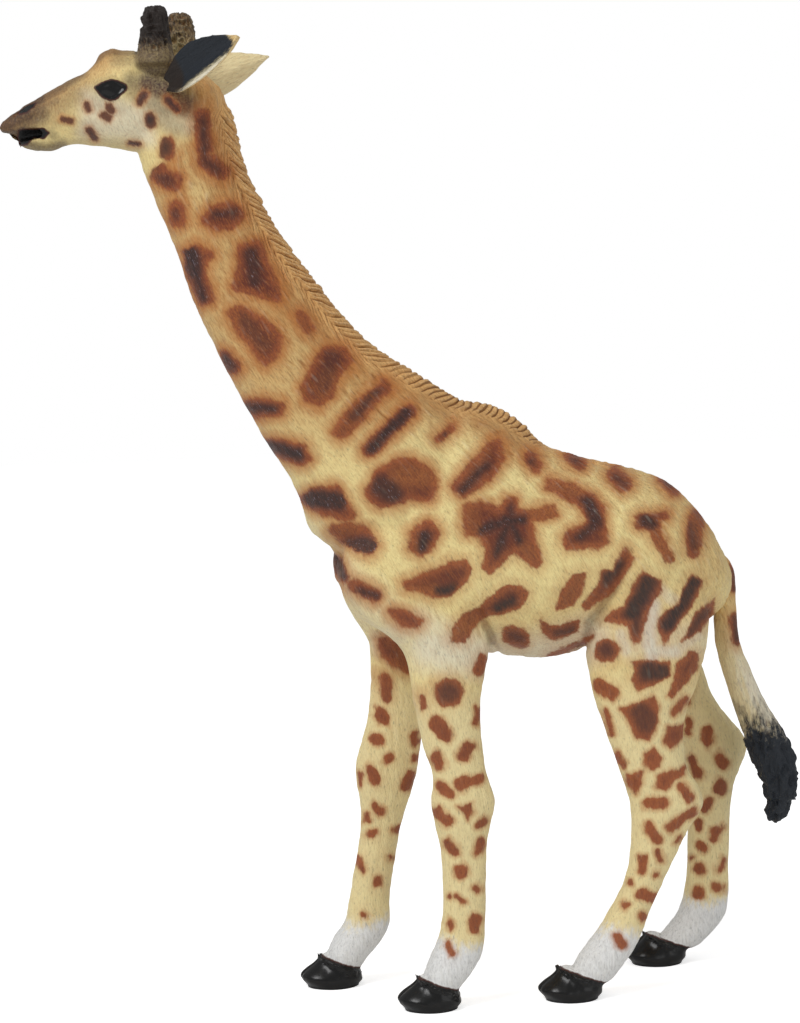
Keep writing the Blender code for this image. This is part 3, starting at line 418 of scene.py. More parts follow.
LEG_SPOTS = {
    "foreleg_left": (
        (((449, 693),), 15), (((437, 723), (445, 735)), 8), (((462, 755), (469, 747)), 7.5),
        (((436, 757), (440, 765)), 6), (((460, 785), (467, 782)), 7),
        (((470, 782), (480, 778)), 5.5), (((440, 787), (449, 793)), 6),
        (((458, 805), (472, 804), (473, 813), (467, 821), (462, 812)), 1),
        (((438, 812), (447, 822)), 6.5), (((478, 826), (484, 820)), 4.5),
        (((447, 843), (456, 851)), 5.5), (((481, 843), (477, 852)), 5.5), (((461, 871),), 7.5),
        (((477, 888),), 5.5), (((449, 896),), 3.5), (((457, 897), (462, 902)), 4),
        (((476, 920), (475, 927)), 7), (((449, 922), (451, 928)), 4),
        (((447, 945), (451, 953)), 4), (((482, 660), (477, 672)), 6),
        (((477, 709), (476, 723)), 3.5), (((422, 697), (424, 708)), 4),
    ),
    "foreleg_right": (
        (((383, 640), (402, 648), (406, 664), (396, 660), (384, 652)), 5),
        (((383, 680), (384, 695)), 7), (((378, 712), (382, 715)), 8.5), (((376, 738),), 7.5),
        (((388, 757),), 6), (((371, 768), (377, 777)), 6.5), (((359, 772), (359, 782)), 4),
        (((373, 802), (378, 808)), 5), (((365, 810), (365, 818)), 3.5), (((372, 832),), 6.5),
        (((395, 828),), 6), (((359, 859), (364, 868)), 4.5), (((393, 858),), 3),
        (((380, 881),), 6), (((365, 913),), 4), (((415, 733), (416, 743)), 5.5),
        (((416, 758),), 5), (((415, 775), (410, 787)), 5.5),
    ),
    "hindleg_left": (
        (((607, 651),), 12.7), (((600, 685), (612, 693)), 7.5),
        (((632, 662), (668, 662), (670, 675), (657, 682), (640, 690), (633, 680), (638, 670)), 2),
        (((690, 652), (698, 653), (697, 667), (687, 683), (673, 698), (668, 697), (675, 680),
          (677, 665)), 1.5),
        (((622, 708), (653, 697), (658, 707), (657, 723), (648, 740), (638, 737), (630, 723)), 2),
        (((606, 712), (612, 733)), 4), (((685, 698), (675, 712)), 4.5),
        (((668, 727), (685, 725), (683, 737), (670, 747), (663, 740)), 2),
        (((645, 755), (653, 748), (662, 757), (660, 767), (650, 768), (643, 762)), 1.5),
        (((618, 755), (623, 766)), 4),
        (((627, 775), (643, 770), (642, 783), (635, 793), (627, 785)), 1.5),
        (((657, 777), (668, 773), (685, 767), (685, 773), (672, 782), (665, 790),
          (657, 788)), 1.5), (((682, 787), (690, 798)), 6), (((648, 803), (663, 804)), 6.5),
        (((670, 827), (692, 812)), 5.5), (((648, 828), (657, 840)), 6),
        (((680, 837), (677, 842)), 3), (((658, 853), (661, 860)), 4.5),
        (((642, 858), (642, 870)), 5), (((657, 875),), 4), (((631, 883),), 4.5),
        (((642, 895), (653, 898)), 6.5), (((626, 906),), 5.5), (((643, 918),), 5),
        (((617, 937), (623, 945)), 5),
    ),
    "hindleg_right": (
        (((640, 690), (655, 676)), 8), (((668, 655), (676, 668)), 8),
        (((664, 712), (670, 722)), 7), (((690, 692), (690, 704)), 5),
        (((690, 723), (690, 733)), 5), (((711, 735), (711, 743)), 7),
        (((723, 758), (726, 765)), 6), (((720, 782), (718, 788)), 5.5),
        (((693, 762), (700, 774)), 5), (((709, 798), (707, 805)), 6), (((702, 823),), 6.5),
        (((722, 827), (717, 837)), 5.5), (((702, 847),), 7), (((690, 861),), 3.5),
        (((722, 859), (717, 870)), 3.5), (((699, 871),), 6), (((718, 887),), 5.5),
        (((699, 893),), 7.5),
    ),
}
TAIL_SPOTS = (
    (((730, 568), (733, 588)), 5), (((734, 618), (737, 640)), 5.5),
)
HEAD_SPOTS = (
    (((87, 104), (89, 110)), 3), (((109, 107), (111, 110)), 4), (((104, 115), (108, 118)), 4),
    (((63, 119), (71, 121)), 3), (((89, 130), (95, 138)), 3.5), (((130, 143), (139, 144)), 2.5),
    (((140, 102), (144, 95)), 4), (((150, 118), (151, 123)), 5.5), (((168, 100), (177, 109)), 4.5),
)

# Dark sprayed cores of the spots: corners, radius and strength
CORES = (
    (((166, 148),), 5, 0.6), (((203, 122), (205, 158)), 3, 0.7),
    (((206, 164), (214, 169)), 4, 0.6), (((162, 179), (168, 180)), 5, 0.5),
    (((176, 214),), 4, 0.5), (((216, 214), (236, 211)), 3, 0.7),
    (((190, 253), (194, 272)), 7, 1.0), (((194, 272), (203, 298)), 4, 0.9),
    (((251, 254), (255, 280)), 6, 0.8), (((246, 322), (264, 344)), 6, 0.4),
    (((226, 360), (230, 366)), 5, 0.8), (((332, 355), (324, 385)), 6, 0.4),
    (((248, 407), (272, 409)), 4, 0.9), (((376, 392), (354, 416)), 4, 0.7),
    (((406, 414), (372, 448)), 5, 1.0), (((268, 446), (298, 454)), 5, 1.0),
    (((312, 499), (338, 500)), 8, 1.0), (((380, 486), (392, 494)), 9, 0.8),
    (((352, 546), (372, 546)), 8, 0.9), (((486, 466), (461, 490)), 3, 0.9),
    (((511, 522), (493, 523), (481, 531)), 2.5, 1.0),
    (((509, 524), (502, 540), (498, 553)), 2.5, 1.0), (((513, 526), (519, 541)), 2.5, 1.0),
    (((505, 520), (523, 519)), 3.5, 1.0), (((511, 508), (512, 520)), 2.5, 0.8),
    (((424, 537), (422, 548)), 5, 1.0), (((532, 462),), 3, 0.7), (((575, 460),), 3, 0.6),
    (((616, 478), (624, 484)), 4, 0.5), (((668, 483),), 4, 0.6), (((444, 434),), 2, 0.8),
    (((588, 503), (596, 522)), 6, 0.9), (((596, 524), (580, 536)), 4, 0.85),
    (((645, 521), (650, 524)), 7, 0.9), (((691, 526), (695, 545)), 3, 0.6),
    (((440, 591), (452, 588)), 4, 1.0), (((498, 608), (512, 601)), 4, 1.0),
    (((360, 592), (376, 597)), 3, 0.9), (((513, 636), (520, 638)), 5, 0.4),
    (((558, 633), (572, 628)), 3, 0.7), (((618, 566), (606, 580)), 5, 0.9),
    (((648, 583), (632, 612)), 7, 1.0), (((636, 616), (636, 632)), 3, 0.7),
    (((694, 582), (668, 624)), 6, 1.0), (((704, 612), (690, 632)), 4, 0.7),
    (((648, 670), (662, 672)), 8, 0.9), (((640, 712), (648, 722)), 9, 0.6),
    (((449, 693),), 10, 0.5), (((607, 651),), 8, 0.5), (((88, 107),), 3, 0.6),
    (((108, 112),), 3, 0.5), (((88, 129), (95, 138)), 2, 0.8), (((140, 100), (144, 96)), 2, 0.8),
    (((66, 120),), 3, 0.4), (((338, 562), (342, 576)), 4, 0.9), (((735, 572), (737, 590)), 3, 0.8),
    (((737, 618), (737, 638)), 3, 0.8), (((150, 120),), 4, 0.9),
    (((171, 102), (180, 112)), 7, 0.9), (((138, 102),), 3, 0.8),
    (((172, 104), (177, 109)), 4, 0.7), (((130, 144), (137, 144)), 3, 0.8),
)

# Outlines of the eye, the nostril and the mouth, and the line of the ochre back, in pixels
EYE_LINE = (
    (95.5, 87.5), (103, 83.2), (111.5, 80.8), (119, 82.6), (126, 87.5), (118.5, 95.8),
    (111.5, 99.3), (103, 95.8),
)
NOSTRIL_LINE = (
    (18, 113), (22, 108.5), (29, 104.5), (35.5, 103), (33, 107), (26, 111),
)
MOUTH_LINE = (
    (19, 131), (32, 129.5), (44, 129.5), (48, 133), (44, 137), (34, 137), (27, 143), (21, 144),
    (19, 137),
)
OCHRE_LINE = (
    (205, 108), (232, 150), (262, 215), (300, 290), (350, 345), (400, 380), (470, 400), (515, 432),
    (600, 457), (680, 488), (714, 560),
)

# Sprayed patches of paint, and painted shade along the jaw and the body's folds: places in pixels,
# -1 along their line or 0 over their area, softness, strength
UMBER_PATCHES = (
    (((-4, 126), (4, 130), (16, 133), (24, 131)), -1, 11, 0.95),
    (((2, 120), (14, 112), (26, 105), (40, 98)), -1, 11, 0.95),
    (((8, 122), (24, 120), (38, 113)), -1, 19, 0.85),
    (((48, 130), (54, 136)), -1, 6, 0.45),
    (((38, 100), (60, 87), (80, 72)), -1, 9, 0.75),
    (((78, 74), (104, 53), (108, 51)), -1, 5, 0.6),
    (((40, 114), (62, 106), (76, 96)), -1, 15, 0.42),
    (((12, 138), (24, 146), (46, 151), (62, 147)), -1, 9, 0.8),
    (((44, 118), (56, 122)), -1, 9, 0.35),
    (((134, 20), (196, 20), (196, 66), (180, 80), (152, 80), (137, 64)), 0, 7, 0.92),
    (((148, 84), (172, 92), (184, 104)), -1, 19, 1.0),
    (((128, 86), (150, 90)), -1, 9, 0.7),
    (((132, 82), (146, 92)), -1, 13, 0.72),
    (((4, 128), (14, 120), (28, 116)), -1, 14, 0.95),
    (((150, 102), (166, 114)), -1, 11, 0.5),
    (((134, 90), (150, 100), (166, 106), (184, 106)), -1, 14, 0.6),
    (((150, 98), (160, 118), (176, 128)), -1, 15, 0.42),
    (((84, 90), (100, 101), (124, 108)), -1, 14, 0.2),
    (((70, 122), (90, 130)), -1, 11, 0.18),
    (((116, 60), (134, 62)), -1, 8, 0.34),
    (((45, 107), (56, 101)), -1, 7, 0.58),
    # Painted shade in the crease along the jaw
    (((50, 146), (96, 142), (140, 148)), -1, 6, 0.26),
    (((34, 122), (54, 118), (76, 104)), -1, 12, 0.28),
    (((96, 84), (111, 78), (128, 86)), -1, 5, 0.22),
    (((110, 52), (134, 53)), -1, 5, 0.5),
)
# Painted shade along the body's folds: the shoulder, the flank and the elbow
FOLD_SHADE_PATCHES = (
    (((424, 402), (466, 412), (506, 434), (538, 454)), -1, 15, 0.15),
    (((630, 560), (614, 588), (600, 608), (588, 624), (586, 640)), -1, 5, 0.55),
    (((481, 619), (488, 630), (492, 642)), -1, 5, 0.5),
)
PALE_PATCHES = (
    (((88, 96), (118, 104), (146, 112), (150, 140), (120, 134), (84, 132)), 0, 16, 0.72),
    (((150, 106), (172, 120), (190, 124)), -1, 16, 0.45),
    (((300, 545), (352, 600), (400, 640)), -1, 34, 0.35),
    (((430, 648), (520, 662), (590, 640)), -1, 30, 0.75),
    (((636, 640), (700, 640)), -1, 26, 0.45),
    (((652, 606), (649, 632), (652, 656)), -1, 11, 1.0),
    (((652, 650), (676, 652)), -1, 9, 0.9),
    (((676, 650), (700, 636)), -1, 8, 0.7),
    (((622, 634), (626, 650)), -1, 8, 0.7),
    (((660, 590), (672, 600)), -1, 8, 0.5),
    (((380, 640), (420, 625), (470, 650)), -1, 22, 0.55),
)
LIGHT_PATCHES = (
    (((402, 476), (424, 476)), -1, 15, 0.9),
    (((470, 510), (474, 532)), -1, 10, 0.6),
    (((524, 546), (532, 554)), -1, 8, 0.5),
    (((538, 513), (556, 510)), -1, 10, 0.8),
    (((550, 483), (578, 491)), -1, 9, 0.7),
    (((486, 450), (468, 482)), -1, 8, 0.35),
    (((328, 376), (320, 394)), -1, 11, 0.5),
    (((238, 320), (264, 344)), -1, 12, 0.4),
    (((412, 592), (434, 590)), -1, 9, 0.6),
    (((656, 534), (671, 560)), -1, 7, 0.7),
    (((695, 518), (698, 550)), -1, 5, 0.6),
    (((454, 636), (474, 620)), -1, 9, 0.7),
    (((566, 602), (580, 580)), -1, 8, 0.6),
    (((372, 398), (346, 428)), -1, 11, 0.35),
    (((394, 640), (402, 662)), -1, 12, 0.6),
    (((300, 316), (308, 330)), -1, 8, 0.4),
    (((334, 534), (352, 528)), -1, 9, 0.5),
    (((414, 532), (416, 552)), -1, 5, 0.5),
)

# Creases of the legs' roots: a line in pixels, its width, and its depth in millimetres
CREASES = (
    (((480, 612), (490, 632), (498, 652)), 4.0, 0.42),
    (((632, 552), (616, 590), (600, 620), (584, 646)), 5.5, 0.5),
)

# Rises and hollows of the body, the same way, with the side they are on or 0 for both
BODY_FORMS = (
    (((339, 552), (342, 574)), 7, 0.75, -1),
    (((352, 556), (350, 596)), 9, 0.35, 1),
    (((440, 640), (470, 600), (478, 560)), 16, 0.35, 0),
    (((620, 640), (650, 590), (664, 540)), 18, 0.35, 0),
    (((520, 470), (560, 500), (600, 520)), 16, -0.25, 0),
    (((691, 790), (694, 800)), 11, 0.6, 1),
    (((676, 838), (684, 826)), 11, -0.45, 1),
    (((430, 470), (452, 520)), 16, 0.25, 0),
)

# Rises and hollows of the face: a line in pixels, its width, and its height in millimetres
FACE_FORMS = (
    (((104, 58), (112, 54)), 6, 0.55),
    (((112, 62), (128, 66)), 6, 0.25),
    (((136, 76), (146, 92)), 7, -0.3),
    (((88, 97), (104, 105), (120, 104)), 5, 0.22),
    (((108, 128), (128, 122)), 13, 0.3),
    (((24, 104), (36, 100)), 4, 0.25),
    (((22, 116), (32, 111)), 4, 0.3),
    (((44, 118), (62, 108), (78, 98)), 7, -0.22),
    (((62, 146), (90, 140), (120, 146)), 5, -0.15),
    (((28, 148), (48, 148)), 5, 0.2),
    (((4, 138), (12, 141)), 4.5, -0.95),
    (((14, 143), (17, 144)), 3.0, -0.6),
    (((4, 117), (12, 110), (24, 103), (34, 99)), 6, -0.4),
    (((168, 92), (176, 100)), 8, 0.3),
)


def smooth_rows(rows, steps=STATION_STEPS):
    """Extra rows between the given ones, on a curve through all of them."""
    fine = []
    for index in range(len(rows) - 1):
        before = rows[max(index - 1, 0)]
        start, end = rows[index], rows[index + 1]
        after = rows[min(index + 2, len(rows) - 1)]
        for step in range(steps):
            t = step / steps
            row = []
            for a, b, c, d in zip(before, start, end, after):
                bend = 2 * a - 5 * b + 4 * c - d
                swing = 3 * b - a - 3 * c + d
                row.append(b + 0.5 * t * (c - a + t * (bend + t * swing)))
            fine.append(tuple(row))
    fine.append(tuple(rows[-1]))
    return fine


def face_outwards(shape):
    shape.normal_update()
    bmesh.ops.recalc_face_normals(shape, faces=shape.faces)


def loft(stations, points=RING_POINTS):
    """A closed tube through rings, each a centre, a depth arm, a width arm and a peak."""
    shape = bmesh.new()
    rings = []
    for centre, depth, width, peak in stations:
        ring = []
        for point in range(points):
            turn = math.tau * point / points
            narrowing = 1 - peak * math.cos(turn)
            place = centre + depth * math.cos(turn)
            ring.append(place + width * math.sin(turn) * narrowing)
        rings.append(ring)
    return skinned(shape, rings)


def skinned(shape, rings):
    """Adds a closed skin over rings of places, with a flat end at the first and the last."""
    layers = [[shape.verts.new(place) for place in ring] for ring in rings]
    points = len(layers[0])
    for lower, upper in zip(layers, layers[1:]):
        for point in range(points):
            beside = (point + 1) % points
            shape.faces.new((lower[point], lower[beside], upper[beside], upper[point]))
    shape.faces.new(layers[0])
    shape.faces.new(layers[-1])
    face_outwards(shape)
    return shape


def square_arms(centres):
    """The direction of each ring's depth, square to the line through the centres."""
    arms = []
    last = len(centres) - 1
    for index in range(len(centres)):
        run = centres[min(index + 1, last)] - centres[max(index - 1, 0)]
        arms.append(Vector((0, run.z, -run.y)).normalized())
    return arms


def trunk_point(along, up):
    return Vector((0, along * BODY_LENGTH, BELLY_HEIGHT + up * BODY_DEPTH))


def neck_point(forward, up):
    return trunk_point(*NECK_ROOT_SHARE) + Vector((0, -forward * NECK_REACH, up * NECK_RISE))


def head_frame():
    """The head's own axes: X to its left, -Y forward, Z up, origin at the poll."""
    return Matrix.Translation(neck_point(*POLL_SHARE)) @ Matrix.Rotation(HEAD_TURN, 4, "Z")


def head_point(side, forward, up):
    return Vector((side * HEAD_WIDTH, -forward * HEAD_LENGTH, up * HEAD_DEPTH))


def in_head(shape):
    """The shape moved from the head's own axes to its place."""
    shape.transform(head_frame())
    return shape


def trunk_shape():
    arm = Vector((0, math.sin(TRUNK_LEAN), math.cos(TRUNK_LEAN)))
    stations = []
    for along, up, depth, width, peak in smooth_rows(TRUNK_SHARES):
        half_depth = arm * (depth * BODY_DEPTH / 2)
        half_width = Vector((width * BODY_WIDTH / 2, 0, 0))
        stations.append((trunk_point(along, up), half_depth, half_width, peak))
    return loft(stations)


def neck_shape():
    rows = smooth_rows(NECK_SHARES)
    centres = [neck_point(row[0], row[1]) for row in rows]
    stations = []
    for row, centre, arm in zip(rows, centres, square_arms(centres)):
        half_width = Vector((row[3] * NECK_WIDTH / 2, 0, 0))
        stations.append((centre, arm * (row[2] * NECK_DEPTH / 2), half_width, row[4]))
    return loft(stations)


def crest_line(steps, top):
    """Places along the mane's root, from the withers up the nape to a height on the neck."""
    places = [trunk_point(*share) for share in WITHERS_SHARES]
    centres = [neck_point(row[0], row[1]) for row in NECK_SHARES]
    for row, centre, arm in zip(NECK_SHARES, centres, square_arms(centres)):
        if 0 < row[1] < top:
            places.append(centre + arm * (row[2] * NECK_DEPTH / 2))
    rows = smooth_rows([(place.y, place.z) for place in places], steps)
    return [Vector((0, *row)) for row in rows]


def mane_shape():
    """A low ridge from the back of the withers up the nape to behind the ears."""
    crests = crest_line(STATION_STEPS, math.inf)
    half_width = Vector((MANE_WIDTH / 2, 0, 0))
    stations = []
    for crest, arm in zip(crests, square_arms(crests)):
        stations.append((crest, arm * MANE_HEIGHT, half_width, 0))
    return loft(stations)


def head_shape():
    stations = []
    for forward, up, depth, width, peak in smooth_rows(HEAD_SHARES):
        half_depth = Vector((0, 0, depth * HEAD_DEPTH / 2))
        half_width = Vector((width * HEAD_WIDTH / 2, 0, 0))
        stations.append((head_point(0, forward, up), half_depth, half_width, peak))
    return in_head(loft(stations))


def ossicone_shape(side):
    forward = OSSICONE_FORWARD_SHARES[side]
    foot = head_point(side * OSSICONE_SIDE_SHARE, forward, OSSICONE_FOOT_SHARE)
    stations = []
    for up, girth in smooth_rows(OSSICONE_SHARES):
        radius = girth * OSSICONE_DIAMETER / 2
        centre = foot + Vector((0, 0, up * OSSICONE_LENGTH))
        stations.append((centre, Vector((0, radius, 0)), Vector((radius, 0, 0)), 0))
    return in_head(loft(stations))


def head_ball(side, shares, radii, turn=0.0):
    """A round form on one side of the head, turned about the sideways axis."""
    place = head_point(side * shares[0], shares[1], shares[2])
    shape = bmesh.new()
    rounds = ROUND_POINTS // 2
    bmesh.ops.create_uvsphere(shape, u_segments=ROUND_POINTS, v_segments=rounds, radius=1)
    placed = head_frame() @ Matrix.Translation(place)
    shape.transform(placed @ Matrix.Rotation(turn, 4, "X") @ Matrix.Diagonal(radii).to_4x4())
    return shape


def eye_shape(side):
    return head_ball(side, EYE_SHARES, Vector(EYE_SIZE_SHARES) * EYE_LENGTH)


def leg_centre(name, along, up, out):
    rows, root, side, hoof = LEGS[name]
    heel = Vector((side * out * STANCE_WIDTH / 2, root * BODY_LENGTH, 0))
    return heel + Vector((0, along * BELLY_HEIGHT, up * BELLY_HEIGHT))


def leg_stations(name):
    stations = []
    for along, up, depth, width, out in smooth_rows(LEGS[name][0]):
        half_depth = Vector((0, depth * LEG_DEPTH / 2, 0))
        half_width = Vector((width * LEG_WIDTH / 2, 0, 0))
        stations.append((leg_centre(name, along, up, out), half_depth, half_width, 0))
    return stations


def hoof_stations(name):
    """The rings of the hoof, with its coronet set back from the toe."""
    middle = leg_centre(name, LEGS[name][3], 0, 1)
    stations = []
    for up, length, width, back, slope in HOOF_SHARES:
        centre = middle + Vector((0, back * HOOF_LENGTH, up * HOOF_HEIGHT))
        half_length = Vector((0, 1, -slope)) * (length * HOOF_LENGTH / 2)
        half_width = Vector((width * HOOF_WIDTH / 2, 0, 0))
        stations.append((centre, half_length, half_width, 0))
    return stations


def leg_span(name):
    """The foremost and the rearmost place of a leg and its hoof."""
    stations = leg_stations(name) + hoof_stations(name)
    front = min(centre.y - depth.y for centre, depth, width, peak in stations)
    back = max(centre.y + depth.y for centre, depth, width, peak in stations)
    return front, back


def tail_shape(grow=0.0):
    root = trunk_point(*TAIL_ROOT_SHARE)
    rows = smooth_rows(TAIL_SHARES, 2)
    centres = [root + Vector((0, row[0] * TAIL_SWING, -row[1] * TAIL_DROP)) for row in rows]
    stations = []
    for row, centre, arm in zip(rows, centres, square_arms(centres)):
        radius = row[2] * TAIL_THICKNESS / 2 + grow
        stations.append((centre, arm * radius, Vector((radius, 0, 0)), 0))
    if grow:
        run = (stations[0][0] - stations[1][0]).normalized() * grow
        stations[0] = (stations[0][0] + run, *stations[0][1:])
    return loft(stations, ROUND_POINTS)


def joined(shapes):
    """All the shapes in one mesh, still overlapping."""
    whole = bmesh.new()
    for shape in shapes:
        piece = bpy.data.meshes.new("piece")
        shape.to_mesh(piece)
        shape.free()
        whole.from_mesh(piece)
        bpy.data.meshes.remove(piece)
    return whole


def neck_axis(share_point):
    """The way the neck runs upward at the ring nearest to a place on it."""
    rows = [neck_point(row[0], row[1]) for row in NECK_SHARES]
    place = neck_point(*share_point)
    nearest = min(range(1, len(rows) - 1), key=lambda index: (rows[index] - place).length)
    return (rows[nearest + 1] - rows[nearest - 1]).normalized()


def head_seam_axis():
    return Vector((0, -math.sin(HEAD_SEAM_TILT), math.cos(HEAD_SEAM_TILT)))


def ear_axes(side):
    """The ear's root, its run to the tip, its breadth and the way its cup faces."""
    out, forward, up = EAR_RUN_SHARES[side]
    run = Vector((side * out, -forward, up)).normalized()
    out, forward, up = EAR_FACING_SHARES
    facing = Vector((side * out, -forward, up))
    facing = (facing - run * facing.dot(run)).normalized()
    breadth = run.cross(facing)
    root = head_point(side * EAR_ROOT_SHARES[0], EAR_ROOT_SHARES[1], EAR_ROOT_SHARES[2])
    return root, run, breadth, facing


def camera_axes():
    """Place, right, up and forward of the camera that took the photo."""
    out = Vector((math.cos(CAMERA_TURN), -math.sin(CAMERA_TURN), 0))
    place = CAMERA_AIM + out * CAMERA_DISTANCE
    place.z = CAMERA_HEIGHT
    ahead = (CAMERA_AIM - place).normalized()
    level = ahead.cross(Vector((0, 0, 1))).normalized()
    upright = level.cross(ahead)
    right = level * math.cos(CAMERA_ROLL) - upright * math.sin(CAMERA_ROLL)
    up = upright * math.cos(CAMERA_ROLL) + level * math.sin(CAMERA_ROLL)
    return place, right, up, ahead


def photo_places(points):
    """Where points of the figure's frame fall in the photo, in its pixels."""
    place, right, up, ahead = [np.array(axis) for axis in camera_axes()]
    offset = points - place
    depth = offset @ ahead
    across = PHOTO_WIDTH / 2 + FOCAL_PIXELS * (offset @ right) / depth
    down = PHOTO_HEIGHT / 2 - FOCAL_PIXELS * (offset @ up) / depth
    return across, down


def tube(points, radii, flat=1.0, facing=None, count=8):
    """A closed tube through points; flat below 1 makes it a blade that lies on what it faces."""
    stations = []
    last = len(points) - 1
    for index, (point, radius) in enumerate(zip(points, radii)):
        run = (points[min(index + 1, last)] - points[max(index - 1, 0)]).normalized()
        out = facing if facing is not None else Vector((1, 0, 0))
        out = (out - run * out.dot(run)).normalized()
        stations.append((point, out * radius * flat, run.cross(out) * radius, 0))
    return loft(stations, count)


def crest_places():
    """The line of the mane from the withers to the poll, evenly spaced."""
    fine = crest_line(12, 0.98)
    spaced = [fine[0]]
    for point in fine:
        if (point - spaced[-1]).length >= TUFT_SPACING:
            spaced.append(point)
    return spaced


def mane_line(tree):
    """The top of the mane's ridge, from the withers to the poll."""
    crest = crest_places()
    line = []
    for place, arm in zip(crest, square_arms(crest)):
        hit = tree.ray_cast(place + arm * 8 * MM, -arm)[0]
        line.append(hit if hit is not None else place)
    return np.array(line)


def mane_places(points, line):
    """How far each point is down the mane and beside its ridge, and the whole length, in mm."""
    runs = np.gradient(line, axis=0)
    runs /= np.linalg.norm(runs, axis=1)[:, None]
    lengths = np.concatenate(([0], np.cumsum(np.linalg.norm(np.diff(line, axis=0), axis=1))))
    down = np.zeros(len(points))
    away = np.full(len(points), 0.099)
    high = np.flatnonzero(points[:, 2] > 0.090)
    some = points[high]
    best = np.full(len(some), 0.099)
    for place, run, length in zip(line, runs, lengths):
        offset = some - place
        distance = np.linalg.norm(offset, axis=1)
        closer = distance < best
        along = offset[closer] @ run
        best[closer] = distance[closer]
        down[high[closer]] = lengths[-1] - (length + along)
        away[high[closer]] = np.sqrt(np.maximum(distance[closer] ** 2 - along ** 2, 0))
    return down / MM, away / MM, lengths[-1] / MM


def ridges(phase, blunt):
    """Rounded strokes side by side, with a narrow groove between them."""
    part = phase - np.floor(phase)
    return np.sin(np.pi * part) ** blunt


def stroke_strength(phase, hand, seed, least):
    """A steady height for each whole stroke."""
    whole = np.floor(phase).astype(np.int64)
    return least + (1 - least) * np.abs(lattice(whole, hand, 0, seed))


def mane_strokes(points, line):
    """Heights of the mane's strokes, lobes and inner row, how far it reaches, and its grooves."""
    down, away, total = mane_places(points, line)
    hand = np.sign(points[:, 0]).astype(np.int64)
    withers = ramp(down, total - 42, total - 27)
    wander = soft_noise(down / 3.1, away / 2.0, hand * 3.0, 71)
    lean = 1.45 - 0.80 * withers
    number = (down + lean * away + 0.45 * wander) / 1.22
    ridge = ridges(number, 0.7)
    fine = ridge * stroke_strength(number, hand, 73, 0.6)
    lobes = number / 2 + 0.15 * wander
    lobe = ridges(lobes, 0.8) * stroke_strength(lobes, hand, 79, 0.35) * (1 - 0.45 * withers)
    edge = 2.65 + 0.35 * wander + 0.4 * withers
    outer = ramp(away, edge + 0.30, edge - 0.30)
    slow = (down - 2.1 * away + 0.5 * wander) / 1.75
    inner_ridge = ridges(slow, 0.8)
    inner_part = ramp(away, edge + 3.0, edge + 1.7) * (1 - outer) * (1 - 0.85 * withers)
    inner = inner_ridge * stroke_strength(slow, hand, 83, 0.4) * inner_part
    ends = ramp(down, -7.0, -3.0) * ramp(down, total + 1, total - 5)
    groove = np.maximum(outer * (1 - ridge), inner_part * (1 - inner_ridge)) * ends
    return fine * outer * ends, lobe * outer * ends, inner * ends, outer * ends, groove


def coronet_fringe(name, tree, random):
    """The raised ragged rim where the coat ends and the hoof begins."""
    centre, depth, width, peak = hoof_stations(name)[CORONET_ROW]
    shapes = []
    for step in range(FRINGE_POINTS):
        turn = math.tau * step / FRINGE_POINTS
        place = centre + depth * math.cos(turn) * 0.86 + width * math.sin(turn) * 0.90
        point, out = tree.find_nearest(place + (place - centre) * 0.25)[:2]
        fall = Vector((out.x, out.y, 0)).normalized() * 0.25 - Vector((0, 0, 1))
        fall *= random.uniform(0.5, 1.0) * MM
        start = point + Vector((0, 0, (CORONET_RISE + 0.5) * MM)) - out * 0.08 * MM
        points = [start, start + fall * 0.5 + out * 0.10 * MM, start + fall - out * 0.02 * MM]
        if out.y > -0.70:
            shapes.append(tube(points, FRINGE_RADII, 0.8, out, FRINGE_SIDES))
    return shapes


def as_mesh(shape, name):
    mesh = bpy.data.meshes.new(name)
    shape.to_mesh(mesh)
    shape.free()
    return mesh


def linked(name, data):
    """A new object in the scene."""
    added = bpy.data.objects.new(name, data)
    bpy.context.scene.collection.objects.link(added)
    return added


def modified(mesh, steps):
    """The mesh after a row of modifiers, each a kind and its settings."""
    source = linked("work", mesh)
    for kind, settings in steps:
        step = source.modifiers.new(kind.lower(), kind)
        for key, value in settings.items():
            setattr(step, key, value)
    bpy.context.view_layer.update()
    graph = bpy.context.evaluated_depsgraph_get()
    result = bpy.data.meshes.new_from_object(source.evaluated_get(graph), depsgraph=graph)
    bpy.data.objects.remove(source)
    return result


def remeshed(mesh, voxel, rounds):
    steps = [("REMESH", {"mode": "VOXEL", "voxel_size": voxel})]
    steps.append(("SMOOTH", {"factor": 0.5, "iterations": rounds}))
    return modified(mesh, steps)


def without(mesh, shapes):
    """The mesh with closed shapes cut out of it."""
    cutter = linked("cutter", as_mesh(joined(shapes), "cutter"))
    cut = {"operation": "DIFFERENCE", "solver": "EXACT", "object": cutter}
    result = modified(mesh, [("BOOLEAN", cut)])
    bpy.data.objects.remove(cutter)
    return result


def mesh_tree(mesh):
    shape = bmesh.new()
    shape.from_mesh(mesh)
    tree = BVHTree.FromBMesh(shape)
    shape.free()
    return tree


def coarse_skin():
    """The same smooth body as the solids', before any hair."""
    shapes = [trunk_shape(), neck_shape(), mane_shape(), head_shape()]
    for side in (1, -1):
        shapes += [ossicone_shape(side), eye_shape(side)]
    for name in LEGS:
        shapes += [loft(leg_stations(name)), loft(hoof_stations(name))]
    smooth = remeshed(as_mesh(joined(shapes), "coarse"), COARSE_VOXEL, COARSE_SMOOTHING)
    hollows = [mouth_hollow(1), nostril_hollow(1), nostril_hollow(-1)]
    return without(without(smooth, hollows), [mouth_hollow(-1)])


